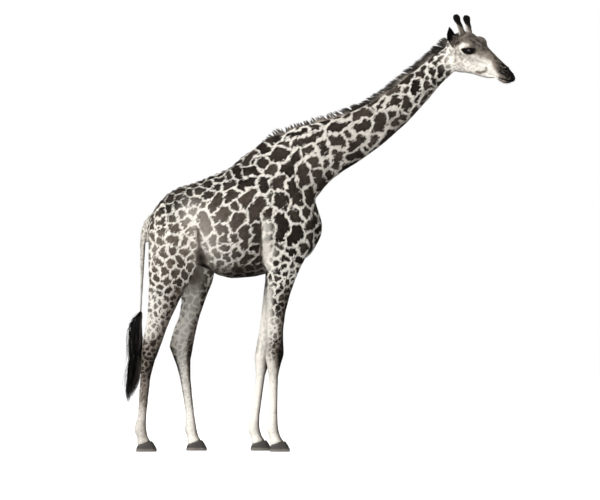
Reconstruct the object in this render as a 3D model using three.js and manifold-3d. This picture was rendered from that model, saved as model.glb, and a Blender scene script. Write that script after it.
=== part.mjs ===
// A life-size giraffe, standing square with its neck stretched forward and its head turned a little
// to its right. Millimetres, +Z up, +X towards the head, +Y to the animal's left.
import * as THREE from 'three';
import { LoftGeometry } from 'three/addons/geometries/LoftGeometry.js';
import { mergeVertices } from 'three/addons/utils/BufferGeometryUtils.js';
import Module from 'manifold-3d';

const wasm = await Module();
wasm.setup();

// ---------------------------------------------------------------- driving dimensions

const GAP = 0.35; // clear space between neighbouring pieces
const FAR = 6000; // size of a cutting block, longer than the animal

const BODY_SIDES = 24; // facets round each body of flesh
const NECK_SIDES = 20;
const HEAD_SIDES = 20;
const LEG_SIDES = 14;
const TUBE_SIDES = 10;

const HEAD_PIVOT = new THREE.Vector3(2018, 0, 3627); // where the head turns on the neck
const HEAD_DROP = THREE.MathUtils.degToRad(34); // nose below the level
const HEAD_TURN = THREE.MathUtils.degToRad(27); // nose to the right of straight ahead

const EYE_RADIUS = 27;
const EYE_PLACE = { along: 176, out: 91, up: 128 }; // in the head's own axes
const LID_RADIUS = 44;

const FOREHEAD_KNOB = { along: 192, out: 0, up: 222 }; // the middle horn's low dome
const FOREHEAD_KNOB_SIZE = { along: 74, out: 52, up: 58 };

const OSSICONE_ROOT = { along: 8, out: 78, up: 225 };
const OSSICONE_TIP = { along: -112, out: 112, up: 328 };

const EAR_ROOT = { along: 40, out: 94, up: 92 };
const RIGHT_EAR_TIP = { along: -78, out: 160, up: 212 }; // pricked
const LEFT_EAR_TIP = { along: -34, out: 252, up: 112 }; // laid out level

const SOLE_HALF_LENGTH = 96;
const CLAW_HALF_WIDTH = 38;
const CLEFT = 8; // between the two claws of a foot
const CORONET_HEIGHT = 72; // middle of the hoof's upper edge
const CORONET_SLOPE = 24 / 70; // the upper edge rises to the front

const FRONT_FOOT_OUT = 160; // feet from the middle line
const HIND_FOOT_OUT = 162;
const RIGHT_FRONT_FOOT_X = 445;
const RIGHT_HIND_FOOT_X = -763;
const LEFT_HIND_FOOT_X = -313;
const LEFT_FRONT_TRAIL = 173; // left front foot behind the right one
const TRAIL_TOP = 1700; // height where the left front leg starts to slant
const TRAIL_FOOT = 235; // and where it is upright again

const FRONT_LEG_TOP = 1660; // a leg's own piece starts under these heights
const HIND_LEG_TOP = { x: -270, z: 1700, slope: -0.33 };
const NECK_BASE = { x: 640, z: 2600, lean: 0.414 };
const THROAT = { x: 2018, z: 3585, lean: 0.38 };
const TUFT_TOP = 1262; // the tail's hair tuft starts here

// Trunk: x, top, bottom, half width, taper (how much wider below than above)
const TRUNK_ROWS = [
  [-760, 2050, 1940, 60, 0],
  [-735, 2115, 1880, 124, 0],
  [-675, 2225, 1808, 186, 0],
  [-580, 2333, 1750, 226, 0.02],
  [-455, 2403, 1710, 250, 0.06],
  [-325, 2438, 1690, 268, 0.12],
  [-215, 2482, 1655, 292, 0.16],
  [-105, 2528, 1592, 316, 0.18],
  [0, 2578, 1566, 328, 0.2],
  [110, 2675, 1568, 322, 0.25],
  [220, 2755, 1578, 300, 0.32],
  [325, 2842, 1605, 272, 0.4],
  [435, 2890, 1635, 248, 0.42],
  [545, 2850, 1675, 228, 0.36],
  [655, 2660, 1722, 196, 0.22],
  [742, 2400, 1795, 150, 0.1],
  [795, 2215, 1878, 104, 0],
  [824, 2130, 1940, 62, 0],
  [837, 2070, 1995, 24, 0],
];

// Neck: x, z, half depth, lean of the section back from upright (degrees), half width, taper
const NECK_ROWS = [
  [505, 2440, 375, 22, 205, 0.2],
  [675, 2622, 334, 21, 168, 0.22],
  [845, 2730, 272, 22, 146, 0.18],
  [1048, 2824, 234, 26, 130, 0.12],
  [1229, 2922, 206, 33, 117, 0.1],
  [1399, 3036, 182, 40, 107, 0.08],
  [1554, 3160, 164, 44, 99, 0.06],
  [1698, 3295, 146, 46, 92, 0.04],
  [1832, 3425, 128, 44, 86, 0],
  [1938, 3515, 123, 34, 84, 0],
  [2036, 3590, 116, 26, 78, 0],
];

// Front leg: z, middle x, depth, half width, distance out from the middle line
const FRONT_LEG_ROWS = [
  [2290, 515, 300, 60, 150],
  [2080, 546, 436, 90, 164],
  [1920, 540, 450, 94, 169],
  [1775, 502, 402, 90, 173],
  [1665, 480, 334, 84, 176],
  [1555, 464, 268, 75, 172],
  [1420, 441, 220, 68, 167],
  [1265, 421, 178, 61, 162],
  [1100, 411, 156, 58, 158],
  [965, 408, 166, 63, 156],
  [860, 402, 172, 66, 155],
  [770, 398, 128, 57, 155],
  [682, 396, 88, 43, 155],
  [510, 397, 79, 37, 156],
  [325, 393, 80, 39, 157],
  [235, 389, 102, 50, 158],
  [180, 393, 110, 52, 159],
  [125, 412, 108, 52, 160],
  [85, 432, 134, 66, 160],
  [35, 435, 144, 72, 160],
];

// Hind leg: z, half width, distance out, right middle x and depth, left middle x and depth
const HIND_LEG_ROWS = [
  [2290, 45, 108, -515, 230, -490, 230],
  [2145, 86, 148, -508, 410, -490, 430],
  [1965, 103, 162, -508, 474, -465, 545],
  [1780, 100, 160, -515, 458, -412, 562],
  [1645, 92, 156, -529, 430, -366, 478],
  [1520, 82, 152, -554, 374, -336, 350],
  [1375, 72, 150, -596, 296, -334, 226],
  [1225, 62, 148, -638, 232, -371, 196],
  [1120, 56, 147, -668, 205, -408, 216],
  [1025, 53, 147, -694, 194, -431, 226],
  [945, 55, 147, -714, 174, -446, 226],
  [865, 54, 147, -731, 154, -438, 184],
  [775, 47, 148, -750, 124, -424, 136],
  [665, 41, 150, -766, 100, -410, 106],
  [500, 37, 153, -781, 86, -388, 90],
  [335, 39, 157, -795, 83, -366, 84],
  [235, 49, 160, -809, 102, -361, 102],
  [180, 51, 161, -807, 110, -356, 110],
  [125, 51, 162, -791, 106, -341, 106],
  [85, 66, 162, -775, 132, -325, 132],
  [35, 72, 162, -772, 144, -322, 144],
];

// Skull and upper jaw in the head's own axes: along, top, bottom, half width, taper
const UPPER_HEAD_ROWS = [
  [-84, 108, 40, 30, 0],
  [-66, 154, 0, 62, 0],
  [-30, 203, -30, 84, 0],
  [20, 240, -30, 96, -0.05],
  [80, 250, -5, 103, -0.08],
  [140, 255, 15, 106, -0.06],
  [190, 256, 22, 104, 0],
  [235, 248, 24, 92, 0.04],
  [285, 233, 24, 76, 0.08],
  [345, 224, 24, 64, 0.06],
  [415, 213, 34, 56, 0.02],
  [490, 203, 52, 54, 0],
  [555, 194, 70, 59, 0],
  [610, 178, 84, 57, 0],
  [650, 160, 98, 42, 0],
  [668, 142, 114, 18, 0],
];

// Lower jaw and chin, same columns
const LOWER_JAW_ROWS = [
  [-10, 60, -60, 44, 0],
  [22, 90, -104, 62, 0],
  [80, 100, -134, 70, 0.02],
  [145, 90, -127, 68, 0.04],
  [218, 70, -84, 58, 0.06],
  [290, 55, -52, 49, 0.04],
  [365, 50, -28, 42, 0],
  [440, 55, 0, 39, 0],
  [510, 70, 34, 41, 0],
  [560, 86, 46, 44, 0],
  [606, 98, 54, 40, 0],
  [640, 106, 76, 20, 0],
];

// Ear, from root to tip: distance along (part of the length), half width, cup depth, thickness
const EAR_ROWS = [
  [0, 26, 24, 24],
  [0.14, 40, 32, 16],
  [0.32, 53, 36, 10],
  [0.52, 56, 32, 8],
  [0.7, 46, 23, 7],
  [0.86, 27, 13, 6],
  [1, 6, 5, 4],
];

// Ossicone, from root to tip: distance along (part of the length), radius
const OSSICONE_ROWS = [
  [-0.18, 34],
  [0.12, 29],
  [0.36, 25],
  [0.58, 26],
  [0.74, 33],
  [0.9, 31],
  [1, 13],
];

// Tail: x, z, half thickness front to back, half width
const TAIL_ROWS = [
  [-662, 2188, 16, 20],
  [-702, 2150, 34, 38],
  [-744, 2088, 40, 44],
  [-776, 2000, 37, 40],
  [-792, 1890, 30, 34],
  [-796, 1760, 24, 28],
  [-799, 1600, 18, 21],
  [-806, 1400, 12, 14],
  [-813, 1240, 11, 12],
];

// Hair tuft at the tail's end, same columns
const TUFT_ROWS = [
  [-812, 1264, 17, 18],
  [-832, 1222, 46, 40],
  [-852, 1150, 66, 54],
  [-857, 970, 68, 58],
  [-864, 815, 65, 56],
  [-881, 682, 60, 50],
  [-901, 575, 50, 40],
  [-918, 490, 36, 28],
  [-926, 425, 10, 8],
];

// Mane: x, z of the hair tips along the neck, half thickness at the roots
const MANE_ROWS = [
  [292, 2828, 10],
  [365, 2895, 17],
  [440, 2940, 22],
  [550, 2975, 25],
  [665, 3000, 27],
  [825, 3055, 28],
  [1035, 3128, 29],
  [1200, 3192, 29],
  [1365, 3300, 29],
  [1530, 3428, 29],
  [1695, 3555, 28],
  [1855, 3684, 26],
  [1925, 3744, 20],
  [1955, 3764, 12],
];
const MANE_DEPTH = 120; // tips to the lower edge, which the neck cuts away

const COLOURS = {
  coat: 0xb98f5f,
  mane: 0x5a3a24,
  tuft: 0x17130f,
  hoof: 0x3a342d,
  eye: 0x0d0906,
  ossicone: 0x4a3526,
};

// ---------------------------------------------------------------- tools for the shapes

const UP = new THREE.Vector3(0, 0, 1);
const LEFT = new THREE.Vector3(0, 1, 0);

function catmullRom(t, a, b, c, d) {
  const v0 = (c - a) / 2;
  const v1 = (d - b) / 2;
  return ((2 * b - 2 * c + v0 + v1) * t + (3 * c - 3 * b - 2 * v0 - v1)) * t * t + v0 * t + b;
}

// Fills in rows between the given ones, so that every column runs smoothly.
function smoothRows(rows, perSpan) {
  const cell = (i, column) => rows[THREE.MathUtils.clamp(i, 0, rows.length - 1)][column];
  const filled = [];
  for (let i = 0; i < rows.length - 1; i++) {
    for (let k = 0; k < perSpan; k++) {
      const t = k / perSpan;
      filled.push(rows[i].map((value, c) =>
        catmullRom(t, cell(i - 1, c), value, cell(i + 1, c), cell(i + 2, c))));
    }
  }
  filled.push(rows.at(-1));
  return filled;
}

// A ring of points round a centre. First and second are the ring's half axes, and the loft runs
// along their cross product. Square above 2 squares the ring off, and taper makes it narrower
// towards the second axis.
function ring(centre, first, second, sides, square = 2, taper = 0) {
  const points = [];
  for (let j = 0; j < sides; j++) {
    const angle = (2 * Math.PI * (j + 0.5)) / sides;
    const p = Math.sign(Math.cos(angle)) * Math.abs(Math.cos(angle)) ** (2 / square);
    const q = Math.sign(Math.sin(angle)) * Math.abs(Math.sin(angle)) ** (2 / square);
    points.push(centre.clone()
      .addScaledVector(first, p * (1 - taper * q))
      .addScaledVector(second, q));
  }
  return points;
}

function solid(geometry, matrix) {
  const bare = new THREE.BufferGeometry().copy(geometry);
  bare.deleteAttribute('normal');
  bare.deleteAttribute('uv');
  if (matrix) bare.applyMatrix4(matrix);
  const merged = mergeVertices(bare, 1e-3);
  return new wasm.Manifold(new wasm.Mesh({
    numProp: 3,
    vertProperties: new Float32Array(merged.attributes.position.array),
    triVerts: new Uint32Array(merged.index.array),
  }));
}

function loft(rings) {
  return solid(new LoftGeometry(rings, { capStart: true, capEnd: true }));
}

// The largest body of a solid, with edges too short to matter closed up.
function tidy(body) {
  const pieces = body.simplify(0.05).decompose();
  return pieces.reduce((best, piece) => (piece.volume() > best.volume() ? piece : best));
}

function geometryOf(body) {
  const mesh = body.getMesh();
  const geometry = new THREE.BufferGeometry();
  geometry.setAttribute('position', new THREE.BufferAttribute(new Float32Array(mesh.vertProperties), 3));
  geometry.setIndex(new THREE.BufferAttribute(new Uint32Array(mesh.triVerts), 1));
  geometry.computeVertexNormals();
  return geometry;
}

function moved(body, matrix) {
  return solid(geometryOf(body), matrix);
}

// Everything on the side of a plane that its normal points to, from a clear distance on.
function beyond(point, normal, clear = 0) {
  const block = new THREE.BoxGeometry(FAR, FAR, FAR);
  const turn = new THREE.Quaternion().setFromUnitVectors(UP, normal);
  const middle = point.clone().addScaledVector(normal, clear + FAR / 2);
  return solid(block, new THREE.Matrix4().compose(middle, turn, new THREE.Vector3(1, 1, 1)));
}

function split(body, point, normal) {
  return {
    ahead: body.intersect(beyond(point, normal, GAP / 2)),
    behind: body.intersect(beyond(point, normal.clone().negate(), GAP / 2)),
  };
}

function inPlane(x, z) {
  return new THREE.Vector3(x, 0, z);
}

function piece(name, body, colour, roughness = 0.85) {
  const material = new THREE.MeshStandardMaterial({ color: COLOURS[colour], roughness, metalness: 0 });
  const mesh = new THREE.Mesh(geometryOf(tidy(body)), material);
  mesh.name = name;
  return mesh;
}

// ---------------------------------------------------------------- bodies of flesh

// Each of these takes grow, which makes it that much fatter, to cut a neighbour clear of it.

function trunkBody(grow = 0) {
  const rings = smoothRows(TRUNK_ROWS, 1).map(([x, top, bottom, half, taper]) =>
    ring(inPlane(x, (top + bottom) / 2), new THREE.Vector3(0, half + grow, 0),
      new THREE.Vector3(0, 0, (top - bottom) / 2 + grow), BODY_SIDES, 2.15, taper));
  return loft(rings);
}

function neckBody(grow = 0) {
  const rings = smoothRows(NECK_ROWS, 2).map(([x, z, depth, lean, half, taper]) => {
    const angle = THREE.MathUtils.degToRad(lean);
    const up = inPlane(-Math.sin(angle), Math.cos(angle)).multiplyScalar(depth + grow);
    return ring(inPlane(x, z), new THREE.Vector3(0, half + grow, 0), up, NECK_SIDES, 2.1, taper);
  });
  return loft(rings);
}

// rows: z, middle x, depth, half width, distance out; side is -1 for a right leg, 1 for a left one
function legBody(rows, side) {
  const rings = smoothRows(rows, 1).reverse().map(([z, x, depth, half, out]) =>
    ring(new THREE.Vector3(x, side * out, z), new THREE.Vector3(depth / 2, 0, 0),
      new THREE.Vector3(0, half, 0), LEG_SIDES, 2.1));
  return loft(rings);
}

function trail(z) {
  return LEFT_FRONT_TRAIL * THREE.MathUtils.clamp((TRAIL_TOP - z) / (TRAIL_TOP - TRAIL_FOOT), 0, 1);
}

function frontLegRows(isLeft) {
  return FRONT_LEG_ROWS.map(([z, x, ...rest]) => [z, isLeft ? x - trail(z) : x, ...rest]);
}

function hindLegRows(isLeft) {
  return HIND_LEG_ROWS.map(([z, half, out, rightX, rightDepth, leftX, leftDepth]) =>
    [z, isLeft ? leftX : rightX, isLeft ? leftDepth : rightDepth, half, out]);
}

function jawBody(rows, grow) {
  const rings = smoothRows(rows, 1).map(([along, top, bottom, half, taper]) =>
    ring(inPlane(along, (top + bottom) / 2), new THREE.Vector3(0, half + grow, 0),
      new THREE.Vector3(0, 0, (top - bottom) / 2 + grow), HEAD_SIDES, 2.3, taper));
  return loft(rings);
}

function placed({ along, out, up }, side) {
  return new THREE.Vector3(along, side * out, up);
}

function swelling(centre, along, out, up) {
  const ball = new THREE.SphereGeometry(1, 12, 8);
  const size = new THREE.Vector3(along, out, up);
  return solid(ball, new THREE.Matrix4().compose(centre, new THREE.Quaternion(), size));
}

// Lids and brow stand out round an eye.
function lidBody(side, grow) {
  const centre = placed(EYE_PLACE, side).add(new THREE.Vector3(-2, -14 * side, 4));
  return swelling(centre, LID_RADIUS * 1.25 + grow, LID_RADIUS * 0.72 + grow, LID_RADIUS + grow);
}

function foreheadBody(grow) {
  const { along, out, up } = FOREHEAD_KNOB_SIZE;
  return swelling(placed(FOREHEAD_KNOB, 1), along + grow, out + grow, up + grow);
}

function headBody(grow = 0) {
  const lids = lidBody(-1, grow).add(lidBody(1, grow));
  return jawBody(UPPER_HEAD_ROWS, grow).add(jawBody(LOWER_JAW_ROWS, grow)).add(foreheadBody(grow)).add(lids);
}

function eyeGeometry(radius) {
  return new THREE.SphereGeometry(radius, 14, 9).rotateX(Math.PI / 2);
}

// ---------------------------------------------------------------- ears, horns, hair, hooves

// A leaf of skin rolled into a cup. The hollow faces opening.
function earBody(tip, side, opening) {
  const root = placed(EAR_ROOT, side);
  const length = placed(tip, side).sub(root);
  const along = length.clone().normalize();
  const face = opening.clone().addScaledVector(along, -opening.dot(along)).normalize();
  const across = new THREE.Vector3().crossVectors(face, along);
  const half = 6;
  const rings = smoothRows(EAR_ROWS, 1).map(([part, width, cup, thick]) => {
    const centre = root.clone().addScaledVector(length, part);
    const point = (turn, w, depth) => centre.clone()
      .addScaledVector(across, w * Math.sin(turn))
      .addScaledVector(face, -depth * Math.cos(turn));
    const back = [];
    const inside = [];
    for (let j = 0; j <= half; j++) {
      const turn = (Math.PI * (j / half - 0.5)) * 0.94;
      back.push(point(turn, width, cup));
      inside.push(point(-turn, width - thick * 0.35, Math.max(cup - thick, -4)));
    }
    return [...back, ...inside];
  });
  return loft(rings);
}

function ossiconeBody(side) {
  const root = placed(OSSICONE_ROOT, side);
  const length = placed(OSSICONE_TIP, side).sub(root);
  const along = length.clone().normalize();
  const second = new THREE.Vector3().crossVectors(along, LEFT).normalize();
  const first = new THREE.Vector3().crossVectors(second, along);
  const rings = OSSICONE_ROWS.map(([part, radius]) =>
    ring(root.clone().addScaledVector(length, part), first.clone().multiplyScalar(radius),
      second.clone().multiplyScalar(radius), TUBE_SIDES));
  return loft(rings);
}

// rows: x, z, half thickness, half width, from the top down
function hangingBody(rows, sides) {
  const rings = [...rows].reverse().map(([x, z, thick, half]) =>
    ring(inPlane(x, z), new THREE.Vector3(thick, 0, 0), new THREE.Vector3(0, half, 0), sides));
  return loft(rings);
}

function maneBody() {
  const rings = MANE_ROWS.map(([x, z, half]) =>
    [[1, 0], [0.82, 0.6], [0.3, 1], [-0.3, 1], [-0.82, 0.6], [-1, 0]].map(([across, height]) =>
      new THREE.Vector3(x, half * across, z - MANE_DEPTH * (1 - height))));
  return loft(rings);
}

// One claw of a cloven foot, flat below. Side is -1 for the outer or 1 for the inner claw.
function clawBody(side) {
  const out = side * (CLAW_HALF_WIDTH + CLEFT / 2);
  const rows = [
    [0, 6, 1, 0.97],
    [16, 6, 1.01, 1.01],
    [46, -2, 0.87, 1],
    [CORONET_HEIGHT, -12, 0.73, 0.95],
  ];
  const rings = rows.map(([z, x, length, width]) => {
    const forward = SOLE_HALF_LENGTH * length;
    const rise = forward * CORONET_SLOPE * (z / CORONET_HEIGHT);
    return ring(new THREE.Vector3(x, out, z), new THREE.Vector3(forward, 0, rise),
      new THREE.Vector3(0, CLAW_HALF_WIDTH * width, 0), TUBE_SIDES, 2.5);
  });
  return loft(rings);
}

// ---------------------------------------------------------------- the animal

const headPose = new THREE.Group();
headPose.position.copy(HEAD_PIVOT);
headPose.rotation.set(0, HEAD_DROP, -HEAD_TURN, 'ZYX');
headPose.updateMatrixWorld();
const intoHead = headPose.matrixWorld.clone().invert();

const coronetNormal = inPlane(-CORONET_SLOPE, 1).normalize();

const feet = [
  { name: 'front_right', side: -1, x: RIGHT_FRONT_FOOT_X, out: FRONT_FOOT_OUT, rows: frontLegRows(false) },
  { name: 'front_left', side: 1, x: RIGHT_FRONT_FOOT_X - LEFT_FRONT_TRAIL, out: FRONT_FOOT_OUT,
    rows: frontLegRows(true) },
  { name: 'hind_right', side: -1, x: RIGHT_HIND_FOOT_X, out: HIND_FOOT_OUT, rows: hindLegRows(false) },
  { name: 'hind_left', side: 1, x: LEFT_HIND_FOOT_X, out: HIND_FOOT_OUT, rows: hindLegRows(true) },
];

function legTopPlane(name) {
  if (name.startsWith('front')) return { point: inPlane(0, FRONT_LEG_TOP), normal: UP.clone() };
  return {
    point: inPlane(HIND_LEG_TOP.x, HIND_LEG_TOP.z),
    normal: inPlane(-HIND_LEG_TOP.slope, 1).normalize(),
  };
}

const giraffe = new THREE.Group();
giraffe.add(headPose);

const trunkCut = trunkBody(GAP);
const neckCut = neckBody(GAP);
let shoulders = trunkBody();

for (const foot of feet) {
  const { point, normal } = legTopPlane(foot.name);
  const leg = split(legBody(foot.rows, foot.side), point, normal);
  shoulders = shoulders.add(leg.ahead);
  const coronet = new THREE.Vector3(foot.x - 12, foot.side * foot.out, CORONET_HEIGHT);
  const shank = leg.behind.subtract(trunkCut).intersect(beyond(coronet, coronetNormal, GAP));
  giraffe.add(piece(`leg_${foot.name}`, shank, 'coat'));

  const footPlace = new THREE.Group();
  footPlace.position.set(foot.x, foot.side * foot.out, 0);
  for (const [claw, clawSide] of [['inner', -foot.side], ['outer', foot.side]]) {
    footPlace.add(piece(`hoof_${foot.name}_${claw}`, clawBody(clawSide), 'hoof', 0.55));
  }
  giraffe.add(footPlace);
}

const neckBase = inPlane(NECK_BASE.x, NECK_BASE.z);
const neckBaseNormal = inPlane(1, NECK_BASE.lean).normalize();
const throat = inPlane(THROAT.x, THROAT.z);
const throatNormal = inPlane(1, THROAT.lean).normalize();

const headInPlace = moved(headBody(), headPose.matrixWorld);
const front = split(shoulders.add(neckBody()).add(headInPlace), neckBase, neckBaseNormal);
const neckAndHead = split(front.ahead, throat, throatNormal);
giraffe.add(piece('trunk', front.behind, 'coat'));
giraffe.add(piece('neck', neckAndHead.behind, 'coat'));

let head = moved(neckAndHead.ahead, intoHead);
for (const side of [-1, 1]) {
  const socket = new THREE.Matrix4().setPosition(placed(EYE_PLACE, side));
  head = head.subtract(solid(eyeGeometry(EYE_RADIUS + GAP), socket));
}
headPose.add(piece('head', head, 'coat'));

const headCut = headBody(GAP).add(moved(neckCut, intoHead));
const sides = [
  { name: 'right', side: -1, earTip: RIGHT_EAR_TIP, opening: new THREE.Vector3(0.75, -0.6, -0.1) },
  { name: 'left', side: 1, earTip: LEFT_EAR_TIP, opening: new THREE.Vector3(0.85, 0.2, -0.3) },
];
for (const { name, side, earTip, opening } of sides) {
  headPose.add(piece(`ear_${name}`, earBody(earTip, side, opening).subtract(headCut), 'coat'));
  headPose.add(piece(`ossicone_${name}`, ossiconeBody(side).subtract(headCut), 'ossicone'));
  const eye = piece(`eye_${name}`, solid(eyeGeometry(EYE_RADIUS)), 'eye', 0.1);
  eye.position.copy(placed(EYE_PLACE, side));
  headPose.add(eye);
}

const tail = split(hangingBody(TAIL_ROWS, TUBE_SIDES), inPlane(0, TUFT_TOP), UP);
giraffe.add(piece('tail', tail.ahead.subtract(trunkCut), 'coat'));
const tuft = hangingBody(TUFT_ROWS, TUBE_SIDES + 2);
giraffe.add(piece('tail_tuft', split(tuft, inPlane(0, TUFT_TOP), UP).behind, 'tuft', 0.95));

const crest = maneBody().subtract(trunkCut).subtract(neckCut)
  .subtract(moved(headBody(GAP), headPose.matrixWorld));
giraffe.add(piece('mane', crest, 'mane', 0.95));

// The origin is the middle of the animal's outline on the ground.
const reach = new THREE.Box3().setFromObject(giraffe, true);
giraffe.position.set(-(reach.min.x + reach.max.x) / 2, -(reach.min.y + reach.max.y) / 2, 0);

export default giraffe;
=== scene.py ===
"""A life-size standing giraffe: skin, short coat, mane, tail tuft, eyes, hooves and a plain stage."""

import math

import bmesh
import bpy
import numpy as np
from mathutils import Matrix, Vector
from mathutils.bvhtree import BVHTree


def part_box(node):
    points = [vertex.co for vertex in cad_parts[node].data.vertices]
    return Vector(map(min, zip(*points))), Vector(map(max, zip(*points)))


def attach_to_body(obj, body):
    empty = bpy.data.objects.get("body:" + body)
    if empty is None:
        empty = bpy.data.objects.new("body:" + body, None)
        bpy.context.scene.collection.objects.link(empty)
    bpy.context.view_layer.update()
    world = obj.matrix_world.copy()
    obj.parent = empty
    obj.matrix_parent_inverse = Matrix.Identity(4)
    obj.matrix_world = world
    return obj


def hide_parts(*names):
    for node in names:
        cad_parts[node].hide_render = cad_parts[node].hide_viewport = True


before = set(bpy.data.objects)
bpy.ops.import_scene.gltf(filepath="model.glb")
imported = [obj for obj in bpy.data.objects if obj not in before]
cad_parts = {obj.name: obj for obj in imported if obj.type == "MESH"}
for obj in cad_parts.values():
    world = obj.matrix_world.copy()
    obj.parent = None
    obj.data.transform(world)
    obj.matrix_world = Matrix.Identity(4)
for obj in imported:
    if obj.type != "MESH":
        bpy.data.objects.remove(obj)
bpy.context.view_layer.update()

bl_info = {
    "name": "Standing giraffe",
    "version": (1, 0, 0),
    "blender": (4, 5, 0),
    "location": "View3D > Sidebar > Giraffe",
    "description": "Builds the skin, coat, mane, tail, eyes and hooves of a life-size giraffe",
    "category": "Object",
}

MM = 0.001
EAR_SQUARE, HOOF_SQUARE = 0.0026, 0.0055  # edges of the squares that these are built from, in m
FLESH_KINDS = ("head", "neck", "trunk", "tail", "leg", "ear", "ossicone")
FLESH = [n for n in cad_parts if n.split("_")[0] in FLESH_KINDS and n != "tail_tuft"]
SIDES = {"right": -1, "left": 1}  # the sign of y on each side
EARS = ["ear_right", "ear_left"]
FEET = ["front_right", "front_left", "hind_right", "hind_left"]

# The side plan: a drawing of the right side in squares, 110 to a metre, counted from the upper left.
SQUARES = 110.0
PLAN_X = -2.9085
PLAN_Z = 4.1

# The head's own axes: along to the muzzle, out to the animal's left, and up through the horns.
HEAD_DROP = math.radians(34)
HEAD_TURN = math.radians(-27)
EYE_IN_HEAD = (176, 91, 128)
EYE_RADIUS = 27.0
EAR_ROOT = (40, 94, 92)
LID_OPENING = (24.5, 13.5, 11.5)  # half length, height above and below the middle, in mm
LID_TILT = math.radians(16)
LID_FACING = (0.2, 0.97, 0.08)
LID_OUTSIDE = 31.0  # the lids' outer face, in mm from the eye's middle
LID_INSIDE = 23.5  # the skin behind the eyeball, in the opening
# Each ear's tip and the way it opens, in the head's axes
EAR_LEAVES = {"ear_right": ((-78, -160, 212), (0.75, -0.6, -0.1)),
              "ear_left": ((-34, 252, 112), (0.85, 0.2, -0.3))}

work = {}  # what one operator leaves for the next


# ---- small tools

def ease(values, low, high):
    """0 up to low, 1 from high on, and a soft step between them."""
    t = np.clip((values - low) / (high - low), 0.0, 1.0)
    return t * t * (3 - 2 * t)


def within(values, rise, fall):
    """1 between two soft steps, each given by its low and high end."""
    return ease(values, *rise) * (1 - ease(values, *fall))


def mixed(a, b, share):
    """a where share is 0, b where it is 1."""
    return a + (b - a) * share


def bump(values, middle, width):
    """A soft hump: 1 at the middle, 0.37 one width away."""
    return np.exp(-((values - middle) / width) ** 2)


def unit(vectors):
    return vectors / np.maximum(np.linalg.norm(vectors, axis=-1, keepdims=True), 1e-9)


def lattice_noise(points, seed):
    """Smooth noise from -1 to 1, one wave to each unit of length."""
    base = np.floor(points).astype(np.int64)
    part = points - base
    part = part * part * (3 - 2 * part)
    total = np.zeros(len(points))
    for corner in range(8):
        offset = np.array([(corner >> k) & 1 for k in range(3)])
        cell = base + offset
        h = (cell[:, 0] * 73856093) ^ (cell[:, 1] * 19349663) ^ (cell[:, 2] * 83492791) ^ (seed * 7919)
        h = (h ^ (h >> 13)) * 1274126177 & 0x7FFFFFFF
        value = ((h ^ (h >> 15)) & 0xFFFF) / 32767.5 - 1
        total += value * np.prod(np.where(offset, part, 1 - part), axis=1)
    return total


def plan(points):
    """World points to the side plan."""
    return np.stack([(points[:, 0] - PLAN_X) * SQUARES, (PLAN_Z - points[:, 2]) * SQUARES], axis=1)


def off_plan(squares):
    """Side plan to world x and z."""
    squares = np.asarray(squares, float)
    return squares[..., 0] / SQUARES + PLAN_X, PLAN_Z - squares[..., 1] / SQUARES


def stroke_reach(points, line, width):
    """1 on a drawn line, falling off to 0 over about its width."""
    line = np.asarray(line, float)
    if len(line) == 1:
        line = np.vstack([line, line + 1e-3])
    best = np.full(len(points), 1e9)
    for start, end in zip(line[:-1], line[1:]):
        run = end - start
        share = np.clip(((points - start) @ run) / max(run @ run, 1e-12), 0, 1)
        best = np.minimum(best, ((points - start - share[:, None] * run) ** 2).sum(1))
    return np.exp(-best / width ** 2)


def blended(points, rows):
    """Values given at a few places, blended over the plane. Rows: place, reach, values."""
    rows = np.array(rows, float)
    far = ((points[:, None] - rows[:, :2]) ** 2).sum(2) / rows[:, 2] ** 2
    weight = np.exp(-0.5 * far) + 1e-7 / (1 + far)
    return (weight @ rows[:, 3:]) / weight.sum(1, keepdims=True)


def read(layer, name, width, count, kind=np.float32):
    """One property of every item of a mesh layer, as rows of an array."""
    values = np.empty(count * width, kind)
    layer.foreach_get(name, values)
    return values.reshape(count, width) if width > 1 else values


def points_of(mesh):
    return read(mesh.vertices, "co", 3, len(mesh.vertices)).astype(float)


def normals_of(mesh):
    return read(mesh.vertex_normals, "vector", 3, len(mesh.vertices)).astype(float)


def set_points(mesh, points):
    mesh.vertices.foreach_set("co", points.astype(np.float32).ravel())
    mesh.update()


def triangles_of(mesh):
    mesh.calc_loop_triangles()
    return read(mesh.loop_triangles, "vertices", 3, len(mesh.loop_triangles), np.int32)


def mesh_of(name, points, faces):
    """A mesh from arrays. Faces all have the same number of corners."""
    mesh = bpy.data.meshes.new(name)
    faces = np.asarray(faces, np.int32)
    count, corners = faces.shape
    mesh.vertices.add(len(points))
    mesh.loops.add(count * corners)
    mesh.polygons.add(count)
    mesh.vertices.foreach_set("co", np.asarray(points, np.float32).ravel())
    mesh.loops.foreach_set("vertex_index", faces.ravel())
    mesh.polygons.foreach_set("loop_start", np.arange(0, count * corners, corners, dtype=np.int32))
    mesh.update(calc_edges=True)
    return mesh


def put(name, mesh, material=None, smooth=True):
    """A new object in the scene, with its one material."""
    obj = bpy.data.objects.new(name, mesh)
    bpy.context.scene.collection.objects.link(obj)
    if material:
        mesh.materials.clear()
        mesh.materials.append(material)
    if smooth:
        mesh.shade_smooth()
    return obj


def baked_down(obj):
    """Replaces an object's mesh by what its modifiers make of it."""
    graph = bpy.context.evaluated_depsgraph_get()
    made = bpy.data.meshes.new_from_object(obj.evaluated_get(graph))
    old = obj.data
    obj.modifiers.clear()
    obj.data = made
    bpy.data.meshes.remove(old)
    return obj


def attach(mesh, name, values):
    """Keeps a number or vector for each point, for the materials to read."""
    kind, key = ("FLOAT", "value") if values.ndim == 1 else ("FLOAT_VECTOR", "vector")
    layer = mesh.attributes.new(name, kind, "POINT")
    layer.data.foreach_set(key, values.astype(np.float32).ravel())


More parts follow.
